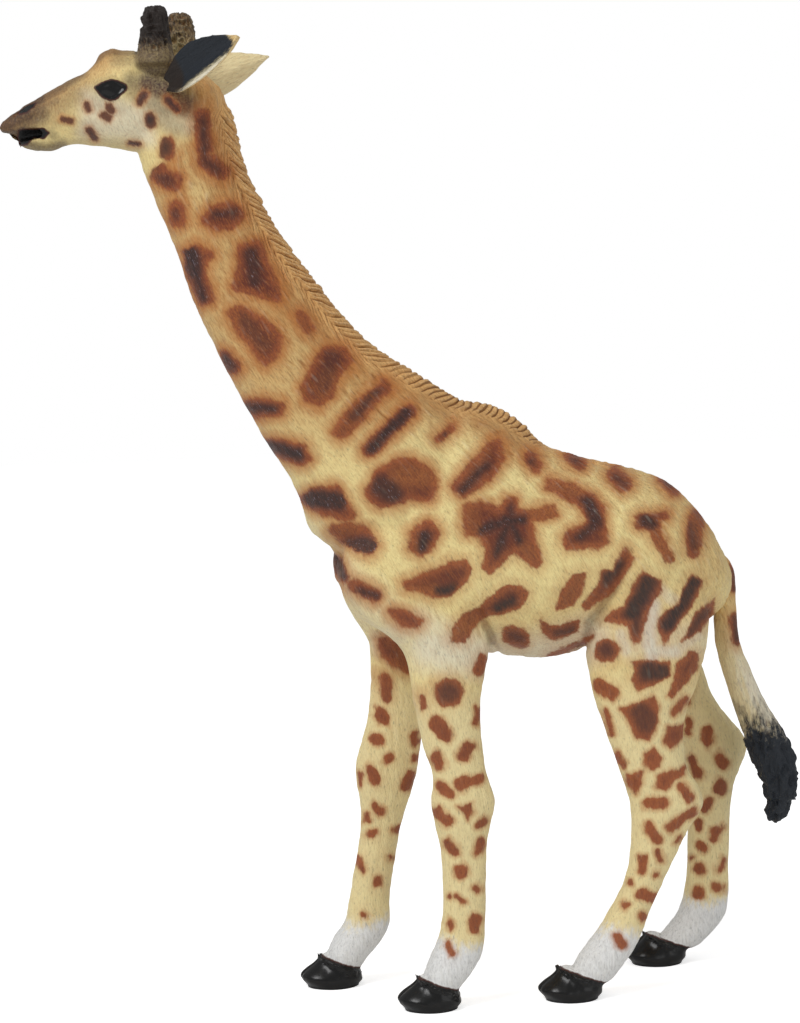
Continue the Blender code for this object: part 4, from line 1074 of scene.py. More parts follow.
def mouth_hollow(side):
    """One side of the open mouth, which leaves a dark wall between the two."""
    stations = []
    for forward, up, opening in smooth_rows(MOUTH_SHARES):
        half_height = Vector((0, 0, opening * MOUTH_OPENING / 2))
        thinning = (forward - MOUTH_WALL_END) / (MOUTH_WALL_FULL - MOUTH_WALL_END)
        inner = MOUTH_WALL * (min(max(thinning, 0.0), 1.0) - 0.02)
        half_width = Vector(((HEAD_WIDTH / 2 - inner) / 2, 0, 0))
        centre = head_point(0, forward, up)
        centre.x = side * (HEAD_WIDTH / 2 + inner) / 2
        stations.append((centre, half_height, half_width, 0))
    return in_head(loft(stations))


def nostril_hollow(side):
    return head_ball(side, NOSTRIL_PLACE, NOSTRIL_RADII, NOSTRIL_TURN)


def fine_skin(coarse, random):
    """The body with lids and coronets, remeshed finely as one skin."""
    tree = mesh_tree(coarse)
    shapes = eyelid_rims(tree)
    for name in LEGS:
        shapes += coronet_fringe(name, tree, random)
    body = bmesh.new()
    body.from_mesh(coarse)
    shapes.append(body)
    return remeshed(as_mesh(joined(shapes), "fine"), FINE_VOXEL, FINE_SMOOTHING)


def refined(mesh, wanted):
    """The mesh with each face split in four where it is wanted."""
    shape = bmesh.new()
    shape.from_mesh(mesh)
    shape.verts.ensure_lookup_table()
    edges = [edge for edge in shape.edges if all(wanted[end.index] for end in edge.verts)]
    bmesh.ops.subdivide_edges(shape, edges=edges, cuts=1, use_grid_fill=True)
    shape.to_mesh(mesh)
    shape.free()
    return mesh


def read_mesh(mesh):
    """The places and the normals of a mesh's points."""
    both = []
    for name in ("co", "normal"):
        values = np.empty(len(mesh.vertices) * 3, dtype=np.float32)
        mesh.vertices.foreach_get(name, values)
        both.append(values.reshape(-1, 3).astype(float))
    return both


def write_points(mesh, points):
    mesh.vertices.foreach_set("co", points.astype(np.float32).ravel())
    mesh.update()


def lattice(x, y, z, seed):
    """A fixed pseudo-random number from 0 to 1 for each whole-number place."""
    mixed = (x * 374761393 + y * 668265263 + z * 1442695041 + seed * 982451653) & 0xFFFFFFFF
    mixed = ((mixed ^ (mixed >> 13)) * 1274126177) & 0xFFFFFFFF
    return ((mixed ^ (mixed >> 16)) & 0xFFFF) / 65535.0


def soft_noise(x, y, z, seed=0):
    """Smooth noise from -1 to 1 with features about one unit wide."""
    whole = [np.floor(axis).astype(np.int64) for axis in (x, y, z)]
    part = [axis - floor for axis, floor in zip((x, y, z), whole)]
    shares = [(1 - t, t) for t in (t * t * (3 - 2 * t) for t in part)]
    total = 0
    for corner in range(8):
        i, j, k = corner & 1, corner >> 1 & 1, corner >> 2 & 1
        weight = shares[0][i] * shares[1][j] * shares[2][k]
        total = total + weight * lattice(whole[0] + i, whole[1] + j, whole[2] + k, seed)
    return total * 2 - 1


def noise_over(places, sizes, seed, unit=MM):
    """Smooth noise over places, with features of the given sizes along the three axes."""
    return soft_noise(*(places / (np.array(sizes) * unit)).T, seed)


def ramp(value, low, high):
    """A smooth step from 0 at low to 1 at high, either way round."""
    t = np.clip((value - low) / (high - low), 0, 1)
    return t * t * (3 - 2 * t)


def hair_places(points):
    """Coordinates that follow the hair: down its run, then across it sideways and in profile."""
    heights = np.linspace(0, 0.18, 361)
    angles = np.interp(heights, HAIR_HEIGHTS, HAIR_ANGLES)
    step = heights[1] - heights[0]
    drift = np.cumsum(step / np.tan(angles))
    length = np.cumsum(step / np.sin(angles))
    run = -np.interp(points[:, 2], heights, length)
    across = points[:, 1] + np.interp(points[:, 2], heights, drift)
    return np.stack((run, points[:, 0], across), axis=1)


def head_places(points):
    """Places in the head's own frame: to its left, forward and up from the poll."""
    inverse = np.array(head_frame().inverted())
    local = points @ inverse[:3, :3].T + inverse[:3, 3]
    return local[:, 0], -local[:, 1], local[:, 2]


def spot_distance(across, down, spots, reach=16.0):
    """Distance in photo pixels to the nearest edge of any spot, below zero inside one."""
    nearest = np.full(len(across), reach)
    for corners, radius in spots:
        low = np.min(corners, axis=0) - radius - reach
        high = np.max(corners, axis=0) + radius + reach
        close = (across > low[0]) & (across < high[0]) & (down > low[1]) & (down < high[1])
        if not close.any():
            continue
        x, y = across[close], down[close]
        best = np.full(len(x), 1e9)
        inside = np.zeros(len(x), dtype=bool)
        count = len(corners)
        for index in range(count):
            ax, ay = corners[index]
            bx, by = corners[(index + 1) % count]
            run = max((bx - ax) ** 2 + (by - ay) ** 2, 1e-9)
            t = np.clip(((x - ax) * (bx - ax) + (y - ay) * (by - ay)) / run, 0, 1)
            best = np.minimum(best, np.hypot(x - ax - t * (bx - ax), y - ay - t * (by - ay)))
            if count > 2 and ay != by:
                crossing = ((ay > y) != (by > y)) & (x < (bx - ax) * (y - ay) / (by - ay) + ax)
                inside ^= crossing
        if count > 3:
            best = np.where(inside, -best, best)
        nearest[close] = np.minimum(nearest[close], best - radius)
    return nearest


def core_strength(across, down):
    total = np.zeros(len(across))
    for corners, radius, strength in CORES:
        distance = spot_distance(across, down, ((corners, radius),))
        total = np.maximum(total, strength * ramp(distance, 6.0, -4.0))
    return total


def photo_hit(tree, across, down):
    """The point of the near side that shows at a place in the photo."""
    place, right, up, ahead = camera_axes()
    rightward = right * ((across - PHOTO_WIDTH / 2) / FOCAL_PIXELS)
    upward = up * ((PHOTO_HEIGHT / 2 - down) / FOCAL_PIXELS)
    return tree.ray_cast(place, (ahead + rightward + upward).normalized())[0]


def mirrored_head(points):
    """The same places on the other side of the head's own middle."""
    frame_now = head_frame()
    inverse = frame_now.inverted()
    flip = Matrix.Diagonal((-1, 1, 1, 1))
    return [frame_now @ (flip @ (inverse @ point)) for point in points]


def eyelid_rims(tree):
    """Raised lids around each eye, thicker above it."""
    shapes = []
    line = [photo_hit(tree, *place) for place in eye_outline()]
    half = len(line) // 2
    for points, side in ((line, 1), (mirrored_head(line), -1)):
        out = (head_frame().to_3x3() @ Vector((side, 0, 0))).normalized()
        for first, last, girth in ((0, half + 1, 0.42), (half, len(line) + 1, 0.30)):
            run = [points[index % len(line)] for index in range(first, last)]
            turns = [math.pi * step / (len(run) - 1) for step in range(len(run))]
            radii = [girth * MM * (0.55 + 0.45 * math.sin(turn)) for turn in turns]
            shapes.append(tube(run, radii, 1.0, out))
    return shapes


def eye_outline():
    return tuple(smooth_rows(EYE_LINE + EYE_LINE[:1], 3)[:-1])


def line_distance(across, down, line, reach):
    """Distance in photo pixels to an open line through places."""
    pairs = [(pair, 0) for pair in zip(line, line[1:])]
    return spot_distance(across, down, pairs, reach)


def swelling(across, down, line, width):
    """How strongly a rounded form along a line in the photo shows at each place, from 0 to 1."""
    return np.exp(-(line_distance(across, down, line, 4 * width) / width) ** 2)


def patch_strength(across, down, patches):
    """The strongest of some sprayed shades at each place."""
    total = np.zeros(len(across))
    for corners, kind, soft, strength in patches:
        if kind < 0:
            distance = line_distance(across, down, corners, 3 * soft)
            shade = ramp(distance, 1.3 * soft, 0.15 * soft)
        else:
            distance = spot_distance(across, down, ((corners, 0),), 3 * soft)
            shade = ramp(distance, soft, -0.3 * soft)
        total = np.maximum(total, strength * shade)
    return total


def cavity_of(mesh, points, normals):
    """How far each point lies above or below the smoothed surface, in millimetres."""
    edges = np.empty(len(mesh.edges) * 2, dtype=np.int32)
    mesh.edges.foreach_get("vertices", edges)
    edges = edges.reshape(-1, 2)
    count = len(points)
    ends = np.concatenate((edges[:, 0], edges[:, 1]))
    others = np.concatenate((edges[:, 1], edges[:, 0]))
    links = np.maximum(np.bincount(ends, minlength=count), 1)
    soft = points.copy()
    for turn in range(CAVITY_ROUNDS):
        sums = [np.bincount(ends, soft[others, axis], count) for axis in range(3)]
        soft = np.stack([total / links for total in sums], axis=1)
    return np.einsum("ij,ij->i", points - soft, normals) / MM


def region_masks(points):
    """How much each point belongs to the head, and to its horn knobs."""
    side, forward, up = head_places(points)
    head = ramp(up + 0.75 * forward, -7.0 * MM, -3.5 * MM) * ramp(points[:, 2], 0.118, 0.124)
    horn = head * ramp(up, HEAD_DEPTH * 0.60, HEAD_DEPTH * 0.80)
    horn = horn * ramp(forward, 9 * MM, 6 * MM) * ramp(forward, -6 * MM, -3.5 * MM)
    return head, horn


def near_leg(points, centre, beside, along):
    """Which points lie within these millimetres of a leg's centre, seen from above."""
    near = np.abs(points[:, 1] - centre.y) < along * MM
    return near & (np.abs(points[:, 0] - centre.x) < beside * MM)


def hoof_height(points):
    """Height of each point above the coronet of its own leg, in millimetres."""
    above = np.full(len(points), 30.0)
    for name in LEGS:
        centre, depth, width, peak = hoof_stations(name)[CORONET_ROW]
        share = np.clip((points[:, 1] - centre.y) / abs(depth.y), -1.3, 1.3)
        line = centre.z + depth.z * share
        height = (points[:, 2] - line) / MM - CORONET_RISE
        near = near_leg(points, centre, 9, 11) & (points[:, 2] < 0.022)
        above = np.where(near, height, above)
    return above


def coat_relief(points, across, down, head, hoof, mane):
    """Strands of hair and soft lumps outside the head, the mane and the hooves."""
    hair = hair_places(points) / MM
    leg = ramp(points[:, 2], 0.060, 0.050)
    bend = 0.8 * noise_over(hair, (4.0, 4.0, 4.0), 3, 1)
    hair[:, 1:] += bend[:, None]
    strand = noise_over(hair, (2.8, 0.95, 0.95), 5, 1)
    thread = noise_over(hair, (1.6, 0.60, 0.60), 8, 1)
    lumps = noise_over(points, (9, 9, 11), 9)
    coat = (1 - hoof) * (1 - head) * (1 - 0.8 * mane)
    rugged = ramp(line_distance(across, down, OCHRE_LINE, 90), 90, 30)
    strands = (0.11 - 0.03 * leg + 0.05 * rugged) * strand + (0.07 + 0.05 * rugged) * thread
    return coat * (strands + 0.16 * (1 - 0.6 * leg) * lumps)


def face_relief(points, across, down, head, horn):
    """Forms, skin grain and nape tufts of the head, and the grit of its horn knobs."""
    local = np.stack(head_places(points), axis=1) / MM
    face_across, face_down = photo_places(mirrored_far_side(points))
    relief = 0
    for line, width, rise in FACE_FORMS:
        relief = relief + rise * swelling(face_across, face_down, line, width)
    face = noise_over(local, (1.1, 2.4, 1.1), 12, 1)
    grain = noise_over(local, (0.6, 0.9, 0.6), 14, 1)
    muzzle = ramp(local[:, 1], 20.0, 26.0)
    relief += (0.055 + 0.03 * muzzle) * face + 0.035 * grain
    nape = ramp(across, 176, 196) * ramp(down, 76, 96)
    relief += 0.40 * nape * noise_over(points, (1, 1, 1.7), 23)
    warts = np.abs(noise_over(local, (0.75, 0.75, 1.0), 17, 1))
    knobs = noise_over(local, (1.6, 1.6, 1.8), 19, 1)
    return head * (1 - horn) * relief + horn * (1.00 * (0.30 - warts) + 0.25 * knobs)


def body_relief(points, across, down, head):
    """Muscles and knees, and the creases at the roots of the legs."""
    relief = 0
    for line, width, rise, hand in BODY_FORMS:
        beside = ramp(points[:, 0] * hand, -0.8 * MM, 1.2 * MM) if hand else 1.0
        relief = relief + rise * beside * swelling(across, down, line, width)
    for line, width, depth in CREASES:
        relief -= depth * swelling(across, down, line, width)
    chest = ramp(down, 532, 548) * ramp(down, 612, 590) * ramp(across, 372, 358)
    return (1 - head) * relief - 0.95 * chest * np.exp(-(points[:, 0] / (1.1 * MM)) ** 2)


def hoof_relief(points, hoof):
    """Fine grooves of the hooves, and the cleft of each toe."""
    relief = hoof * 0.05 * noise_over(points, (0.9, 0.9, 7), 21)
    for name in LEGS:
        centre = hoof_stations(name)[SOLE_ROW][0]
        toe = ramp(points[:, 1], centre.y - 0.2 * HOOF_LENGTH, centre.y - 0.45 * HOOF_LENGTH)
        close = np.exp(-((points[:, 0] - centre.x) / (0.55 * MM)) ** 2)
        relief -= near_leg(points, centre, 6, 9) * hoof * toe * close * 0.55
    return relief


def sculpt(mesh, line):
    """Presses hair, folds, hoof clefts and grit into the fine skin."""
    points, normals = read_mesh(mesh)
    across, down = photo_places(points)
    head, horn = region_masks(points)
    above = hoof_height(points)
    hoof = ramp(above, 0.5, -0.3)
    fine, lobe, inner, mane, crevice_shade = mane_strokes(points, line)
    relief = coat_relief(points, across, down, head, hoof, mane)
    relief += 0.36 * fine + 0.50 * lobe + 0.34 * inner + 0.04 * mane
    relief += face_relief(points, across, down, head, horn)
    relief += body_relief(points, across, down, head) + hoof_relief(points, hoof)
    grounded = ramp(points[:, 2], 0.1 * MM, 0.8 * MM)
    shift = normals * (relief * grounded * MM)[:, None]
    shift += np.array((0, 0.8, 0.2)) * ((0.16 * lobe + 0.10 * fine) * MM)[:, None]
    shift += hoof_dome(points, above) * MM
    write_points(mesh, points + shift)
    return mesh


def hoof_dome(points, above):
    """Draws each hoof in towards its coronet and rounds its toe, in millimetres."""
    drawn = np.zeros((len(points), 3))
    for name in LEGS:
        centre = hoof_stations(name)[CORONET_ROW][0]
        near = near_leg(points, centre, 9, 12) & (points[:, 2] < 0.020)
        inward = (np.array(centre) - points) * (1, 1, 0)
        inward /= np.maximum(np.linalg.norm(inward, axis=1), MM)[:, None]
        front = ramp(inward[:, 1], -0.2, 0.9)
        ledge = 0.45 * ramp(above, 1.8, 0.4) + 0.55 * ramp(above, 6.5, 0.8)
        rim = ramp(above, -5.0, -1.1) * ledge * (0.45 + 1.05 * front)
        toe = ramp(points[:, 2], 2.2 * MM, 0.0) * (0.25 + 0.65 * front)
        swell = 0.55 * front * np.exp(-((above + 3.3) / 1.7) ** 2)
        heel = 0.60 * ramp(inward[:, 1], 0.1, -0.8) * ramp(above, 0.4, -1.6)
        heel *= ramp(points[:, 2], 0.0, 1.2 * MM)
        drawn += inward * (near * (rim + toe - swell - heel))[:, None]
    return drawn


def spots_of(points, near, face, head):
    """Distance to the nearest spot, and the strength of the spots' dark cores."""
    spots = spot_distance(*near, NECK_SPOTS + TRUNK_SPOTS)
    for name, some in LEG_SPOTS.items():
        shown = (points[:, 0] * LEGS[name][2] > 0) & (near[1] > 625)
        spots = np.where(shown, np.minimum(spots, spot_distance(*near, some)), spots)
    spots = np.where(head > 0.5, spot_distance(*face, HEAD_SPOTS + NECK_SPOTS[:4]), spots)
    core = np.where(head > 0.5, core_strength(*face), core_strength(*near))
    return spots, np.maximum(core, 0.34 * (head > 0.5) * (face[0] < 165))


def ochre_of(points, near, face, head):
    """How ochre the coat is: on the nape and the back, the neck and the bridge of the nose."""
    across = near[0]
    reach = 46 + 44 * ramp(across, 470, 360)
    ochre = ramp(line_distance(*near, OCHRE_LINE, 130) / reach, 1.0, 0.08) * (1 - head)
    ochre *= 1 - 0.68 * ramp(across, 500, 590)
    neck = ramp(points[:, 2], 0.086, 0.108) * ramp(across, 480, 330)
    ochre = np.maximum(ochre, 0.60 * (1 - head) * neck)
    ochre = np.maximum(ochre, 0.85 * head * ramp(face[1] + 0.75 * face[0], 178, 118))
    return np.maximum(ochre, 0.8 * head * ramp(face[0], 176, 200))


def dark_skin_of(points, normals, face, head):
    """Distances to the black of the eye, and of the nose and mouth, in photo pixels."""
    sideways = np.abs(normals @ np.array(head_frame().to_3x3() @ Vector((1, 0, 0))))
    aside = np.abs(head_places(points)[0])
    elsewhere = 99 * (head < 0.5)
    eye = spot_distance(*face, ((eye_outline(), 0),)) + elsewhere + 9 * ramp(sideways, 0.42, 0.22)
    nostril = spot_distance(*face, ((NOSTRIL_LINE, 0),)) + 12 * ramp(aside, 2.2 * MM, 1.0 * MM)
    mouth = spot_distance(*face, ((MOUTH_LINE, 0),))
    return eye, np.minimum(nostril, mouth) + elsewhere


def paint(mesh, line):
    """Writes what the paint shader needs to know at every point."""
    points, normals = read_mesh(mesh)
    head, horn = region_masks(points)
    face = photo_places(np.array(mirrored_far_side(points)))
    far = 1.0 * (points[:, 0] < 0)
    shake_a = noise_over(points, (6, 6, 6), 31)
    shake_b = noise_over(points, (6, 6, 6), 37)
    ripple_a = noise_over(points, (1.5, 1.5, 1.5), 33)
    ripple_b = noise_over(points, (1.5, 1.5, 1.5), 39)
    leg = ramp(points[:, 2], 0.060, 0.048)
    across, down = photo_places(points)
    across = across + (0.8 + 5 * far) * shake_a + (1.4 + 0.8 * leg) * ripple_a
    down = down + (0.8 + 5 * far) * shake_b + (1.4 + 0.8 * leg) * ripple_b
    near = (across, down)
    spots, core = spots_of(points, near, face, head)
    halo = np.clip(1 - 0.85 * ramp(points[:, 2], 0.058, 0.046) + 0.15 * shake_a, 0, 1)
    halo *= 1 - head * (0.35 + 0.47 * ramp(face[0], 192, 172))
    halo *= 1 - 0.60 * ramp(across, 380, 480) * ramp(down, 520, 575)
    pale = patch_strength(*face, PALE_PATCHES) * head
    pale = np.maximum(pale, patch_strength(*near, PALE_PATCHES[2:]) * (1 - head))
    pale = np.maximum(pale, 0.20 * leg)
    pastern = ramp(points[:, 2] + 1.2 * MM * shake_a, 15.0 * MM, 7.5 * MM)
    light = patch_strength(*near, LIGHT_PATCHES) * (1 - head)
    umber = patch_strength(*face, UMBER_PATCHES) * head
    # The umber here also carries painted shade along the body's folds
    umber = np.maximum(umber, patch_strength(*near, FOLD_SHADE_PATCHES) * (1 - head))
    side, forward, up = head_places(points)
    horn_height = ramp(up, HEAD_DEPTH * 0.50, HEAD_DEPTH * 1.00)
    umber = np.maximum(umber, horn * (0.90 + 0.10 * horn_height))
    # Painted light on the far horn: less umber and a paler tip than on the near one, where it lies
    # in shade
    umber = np.where((side < 0) & (horn > 0.5), 0.72 * umber, umber)
    soot = horn * horn_height * np.where(side < 0, 0.42, 0.95)
    hoof = (hoof_height(points) - 0.45) * 6
    eye, nose = dark_skin_of(points, normals, face, head)
    black = np.minimum(np.minimum(hoof, eye), nose + 1.2 * ripple_a * (head > 0.5))
    # The mane's grooves take painted shade, stronger towards the withers
    mane, crevice_shade = mane_strokes(points, line)[3:]
    crevice_shade *= 0.66 + 0.50 * ramp(across, 390, 450)
    mane = np.maximum(mane, ramp(mane_places(points, line)[1], 6.0, 3.0))
    gloss = np.maximum(ramp(hoof, 1, -2), ramp(eye, 1.0, -0.5))
    keep(
        mesh,
        (spots / 10, core, halo),
        (ochre_of(points, near, face, head), pale, umber),
        (black / 10, cavity_of(mesh, points, normals), soot),
        (pastern, mane, gloss),
        (light, leg - head * ramp(face[0], 180, 160), crevice_shade),
        hair_places(points).T / MM,
    )
    return mesh


def mirrored_far_side(points):
    """Places with the far half of the head laid over its near half."""
    frame_now = np.array(head_frame())
    side, forward, up = head_places(points)
    local = np.stack((np.abs(side), -forward, up), axis=1)
    return local @ frame_now[:3, :3].T + frame_now[:3, 3]


def keep(mesh, *layers):
    """Stores the paint's layers, of three channels each, and the hair's coordinates last."""
    for name, channels in zip(PAINT_LAYERS, layers):
        layer = mesh.attributes.get(name) or mesh.attributes.new(name, "FLOAT_VECTOR", "POINT")
        values = np.stack([np.asarray(each, dtype=np.float32) for each in channels], axis=1)
        layer.data.foreach_set("vector", values.ravel())


def seam_planes():
    """The places and directions of the seams between the pieces of the skin."""
    planes = {
        "head": (neck_point(*HEAD_SEAM_SHARE), head_seam_axis()),
        "neck": (neck_point(*NECK_SEAM_SHARE), neck_axis(NECK_SEAM_SHARE)),
        "middle": (Vector((0, 0, 0)), Vector((1, 0, 0))),
    }
    for name, shares in LEG_SEAM_SHARES.items():
        front, back = [trunk_point(*share) for share in shares]
        run = (back - front).normalized()
        planes[name] = (front - Vector((0, 0, SEAM_DROP)), Vector((0, -run.z, run.y)))
    return planes


def face_owners(centres, planes):
    """The name of the piece each face belongs to, from its centre."""
    def beyond(name):
        place, axis = planes[name]
        return (centres - np.array(place)) @ np.array(axis) > 0
    hand = np.where(centres[:, 0] > 0, "left", "right")
    fore = centres[:, 1] < (leg_span("foreleg_left")[1] + leg_span("hindleg_left")[0]) / 2
    low = np.where(fore, ~beyond("foreleg"), ~beyond("hindleg"))
    low &= centres[:, 2] < BELLY_HEIGHT + LEG_TOP_MARGIN
    owners = np.char.add("body_", hand)
    legs = np.char.add(np.where(fore, "foreleg_", "hindleg_"), hand)
    owners = np.where(low, legs, owners)
    owners = np.where(beyond("neck") & ~low, "neck", owners)
    return np.where(beyond("head") & (centres[:, 2] > HEAD_FLOOR), "head", owners)


def split_skin(mesh):
    """Cuts the skin along its seams into closed pieces, each with flat caps."""
    shape = bmesh.new()
    shape.from_mesh(mesh)
    planes = seam_planes()
    for place, axis in planes.values():
        geometry = shape.verts[:] + shape.edges[:] + shape.faces[:]
        bmesh.ops.bisect_plane(shape, geom=geometry, dist=1e-7, plane_co=place, plane_no=axis)
    shape.faces.ensure_lookup_table()
    centres = np.array([face.calc_center_median() for face in shape.faces])
    owners = face_owners(centres, planes)
    whole = as_mesh(shape, "whole")
    return {name: piece_mesh(whole, owners, name, planes) for name in sorted(set(owners))}


def piece_mesh(whole, owners, name, planes):
    """One piece of the whole skin, closed at its seams."""
    shape = bmesh.new()
    shape.from_mesh(whole)
    shape.faces.ensure_lookup_table()
    others = [face for face, owner in zip(shape.faces, owners) if owner != name]
    bmesh.ops.delete(shape, geom=others, context="FACES")
    cap_seams(shape, planes)
    for edge in shape.edges:
        if edge.calc_face_angle(0) > SHARP_RIM:
            edge.smooth = False
    face_outwards(shape)
    return as_mesh(shape, name)


def on_plane(edge, plane):
    place, axis = plane
    return all(abs((point.co - place).dot(axis)) < 2e-6 for point in edge.verts)


def cap_seams(shape, planes):
    """Closes every open seam with faces that lie in its own plane."""
    open_edges = [edge for edge in shape.edges if edge.is_boundary]
    by_plane = {}
    for edge in open_edges:
        for name, plane in planes.items():
            if on_plane(edge, plane):
                by_plane.setdefault(name, []).append(edge)
                break
    if "middle" in by_plane and "neck" in by_plane:
        ends = {point for edge in by_plane["middle"] for point in edge.verts}
        others = {point for edge in by_plane["neck"] for point in edge.verts}
        corners = [point for point in others if point in ends]
        if len(corners) == 2:
            bridge = shape.edges.get(corners) or shape.edges.new(corners)
            by_plane["middle"].append(bridge)
            by_plane["neck"].append(bridge)
    for edges in by_plane.values():
        made = bmesh.ops.edgeloop_fill(shape, edges=edges)
        for face in made["faces"]:
            bmesh.ops.triangulate(shape, faces=[face])


def ear_ring(side, row, count):
    """One cross-section of the ear: its cupped inside, then its back."""
    root, run, breadth, facing = ear_axes(side)
    share, low, high = row
    half_width = (high - low) / 2
    middle = (high + low) / 2
    centre = root + run * (share * EAR_LENGTH)
    ring = []
    for turn in range(count * 2):
        inside = turn < count
        step = turn if inside else 2 * count - 1 - turn
        round_across = math.sin((2 * (step + 0.5) / count - 1) * math.pi / 2)
        lift = EAR_CUP * half_width * 1.25 * abs(round_across) ** 1.6
        wall = EAR_THICKNESS * 0.60 * math.sqrt(max(1 - round_across ** 4, 0)) + 0.16 * MM
        lean = 0.5 if inside else -0.5
        place = breadth * ((middle + round_across * half_width) * EAR_WIDTH / 2)
        ring.append(centre + place + facing * (lift + lean * wall))
    return ring


def ear_mesh(side):
    rings = [ear_ring(side, row, EAR_COLUMNS) for row in smooth_rows(EAR_EDGES[side], 5)]
    shape = in_head(skinned(bmesh.new(), rings))
    mesh = remeshed(as_mesh(shape, "ear"), TRIM_VOXEL, EAR_ROUNDING)
    points, normals = read_mesh(mesh)
    along, across, lift = ear_shares(points, side)
    ridge = soft_noise(along * 4, across * 7, lift * 0, 41)
    write_points(mesh, points + normals * (0.07 * MM * ridge)[:, None])
    return mesh


def ear_shares(points, side):
    """Places on the ear: along it from 0 to 1, across it from -1 to 1, and out of its cup."""
    root, run, breadth, facing = [np.array(axis) for axis in ear_axes(side)]
    frame_now = np.array(head_frame().inverted())
    local = points @ frame_now[:3, :3].T + frame_now[:3, 3] - root
    return local @ run / EAR_LENGTH, local @ breadth / (EAR_WIDTH / 2), local @ facing / MM


def paint_ear(mesh, side):
    """Slate and a pale edge in the cup of the ear, and the coat's cream outside, paler and less
    ochre on the far ear as painted light where it faces away from the lamps.
    """
    points, normals = read_mesh(mesh)
    along, across, lift = ear_shares(points, side)
    facing = np.array(head_frame().to_3x3() @ ear_axes(side)[3])
    inside = ramp(normals @ facing, 0.15, 0.5)
    lower = across * side
    slate = inside * ramp(lower + 0.55 * along, 1.42, 0.50) * ramp(along - 0.10 * lower, 1.02, 0.88)
    zero = np.zeros(len(points))
    pale = inside * (1 - slate) * ramp(along, 0.98, 0.80)
    # Painted light: the far ear is paler, where it faces away from the lamps
    pale = np.maximum(pale, 0.32 * (side < 0))
    umber = inside * ramp(along, 0.40, 0.0) * 0.85
    # Less ochre on the far ear's outside: painted light as well
    ochre = (1 - inside) * (0.08 + 0.27 * (side > 0)) + 0.4 * inside * ramp(along, 0.80, 1.0)
    keep(
        mesh,
        (zero + 2, zero, zero),
        (np.clip(ochre, 0, 1), pale, umber),
        (zero + 9, cavity_of(mesh, points, normals), slate),
        (zero, zero, zero),
        (zero, zero, zero),
        (along * EAR_LENGTH / MM, across * 3, lift),
    )
    return mesh


def tuft_clump(tuft, turn, reach):
    """One stiff clump of the tail's tuft, along some of its rings and on one side of them."""
    root = trunk_point(*TAIL_ROOT_SHARE)
    out = Vector((math.sin(turn), math.cos(turn), 0))
    points = []
    for index, row in enumerate(tuft):
        centre = root + Vector((0, row[0] * TAIL_SWING, -row[1] * TAIL_DROP))
        splay = reach + 0.28 * index / len(tuft)
        points.append(centre + out * (row[2] * TAIL_THICKNESS / 2 * splay))
    steps = len(points) - 1
    turns = [math.pi * (0.10 + 0.86 * step / steps) for step in range(steps + 1)]
    radii = [MM * (0.22 + 0.80 * math.sin(turn) ** 0.8) for turn in turns]
    return tube(points, radii, 0.62, out)


def tail_mesh(chance):
    """The tail with its tuft of stiff clumps."""
    shapes = [tail_shape(-0.35 * MM)]
    tuft = [row for row in smooth_rows(TAIL_SHARES, 4) if row[1] > 0.60]
    for start, end, count, reach in TAIL_CLUMPS:
        for clump in range(count):
            turn = math.tau * (clump + chance.uniform(-0.25, 0.25)) / count
            first = int((start + chance.uniform(0, 0.10)) * len(tuft))
            last = int((end + chance.uniform(-0.12, 0.0)) * len(tuft))
            shapes.append(tuft_clump(tuft[first:max(last, first + 5)], turn, reach))
    mesh = remeshed(as_mesh(joined(shapes), "tail"), TRIM_VOXEL, 1)
    points, normals = read_mesh(mesh)
    hair = hair_places(points) / MM
    strand = noise_over(hair, (4.0, 0.8, 0.8), 51, 1)
    thread = noise_over(hair, (2.0, 0.5, 0.5), 53, 1)
    lump_a = noise_over(points, (1.5, 1.5, 2.1), 55)
    lump_b = noise_over(points, (0.8, 0.8, 1.1), 57)
    tuft = ramp(photo_places(points)[1], 712, 745)
    facets = np.abs(lump_a) * 1.25 + np.abs(lump_b) * 0.45 - 0.45
    relief = (1 - 0.6 * tuft) * (0.10 * strand + 0.06 * thread) - tuft * facets
    write_points(mesh, points + normals * (relief * MM)[:, None])
    return mesh


def paint_tail(mesh):
    """The coat's colours on the tail, paler below, and the black of its tuft."""
    points, normals = read_mesh(mesh)
    across, down = photo_places(points)
    zero = np.zeros(len(points))
    level = down + 4 * noise_over(points, (2, 2, 6), 61)
    fleck = noise_over(points, (0.6, 0.6, 1.6), 63)
    dark = ramp(level + 9 * fleck, 698, 756)
    pale = ramp(level, 610, 690) * (0.35 + 0.60 * ramp(normals[:, 1], -0.7, 0.4))
    spots = spot_distance(across, down, TAIL_SPOTS)
    keep(
        mesh,
        (spots / 10, core_strength(across, down), zero + 0.6),
        (ramp(level, 690, 560) * 0.35, pale, 0.45 * ramp(level + 26 * fleck, 690, 722)),
        (zero + 9, cavity_of(mesh, points, normals), dark),
        (zero, zero, zero),
        (zero, zero, zero),
        hair_places(points).T / MM,
    )
    return mesh


def linear(red, green, blue):
    """A colour given as it looks on a screen, 0 to 255, as light values."""
    values = [channel / 255 for channel in (red, green, blue)]
    return tuple(v / 12.92 if v <= 0.04045 else ((v + 0.055) / 1.055) ** 2.4 for v in values) + (1,)


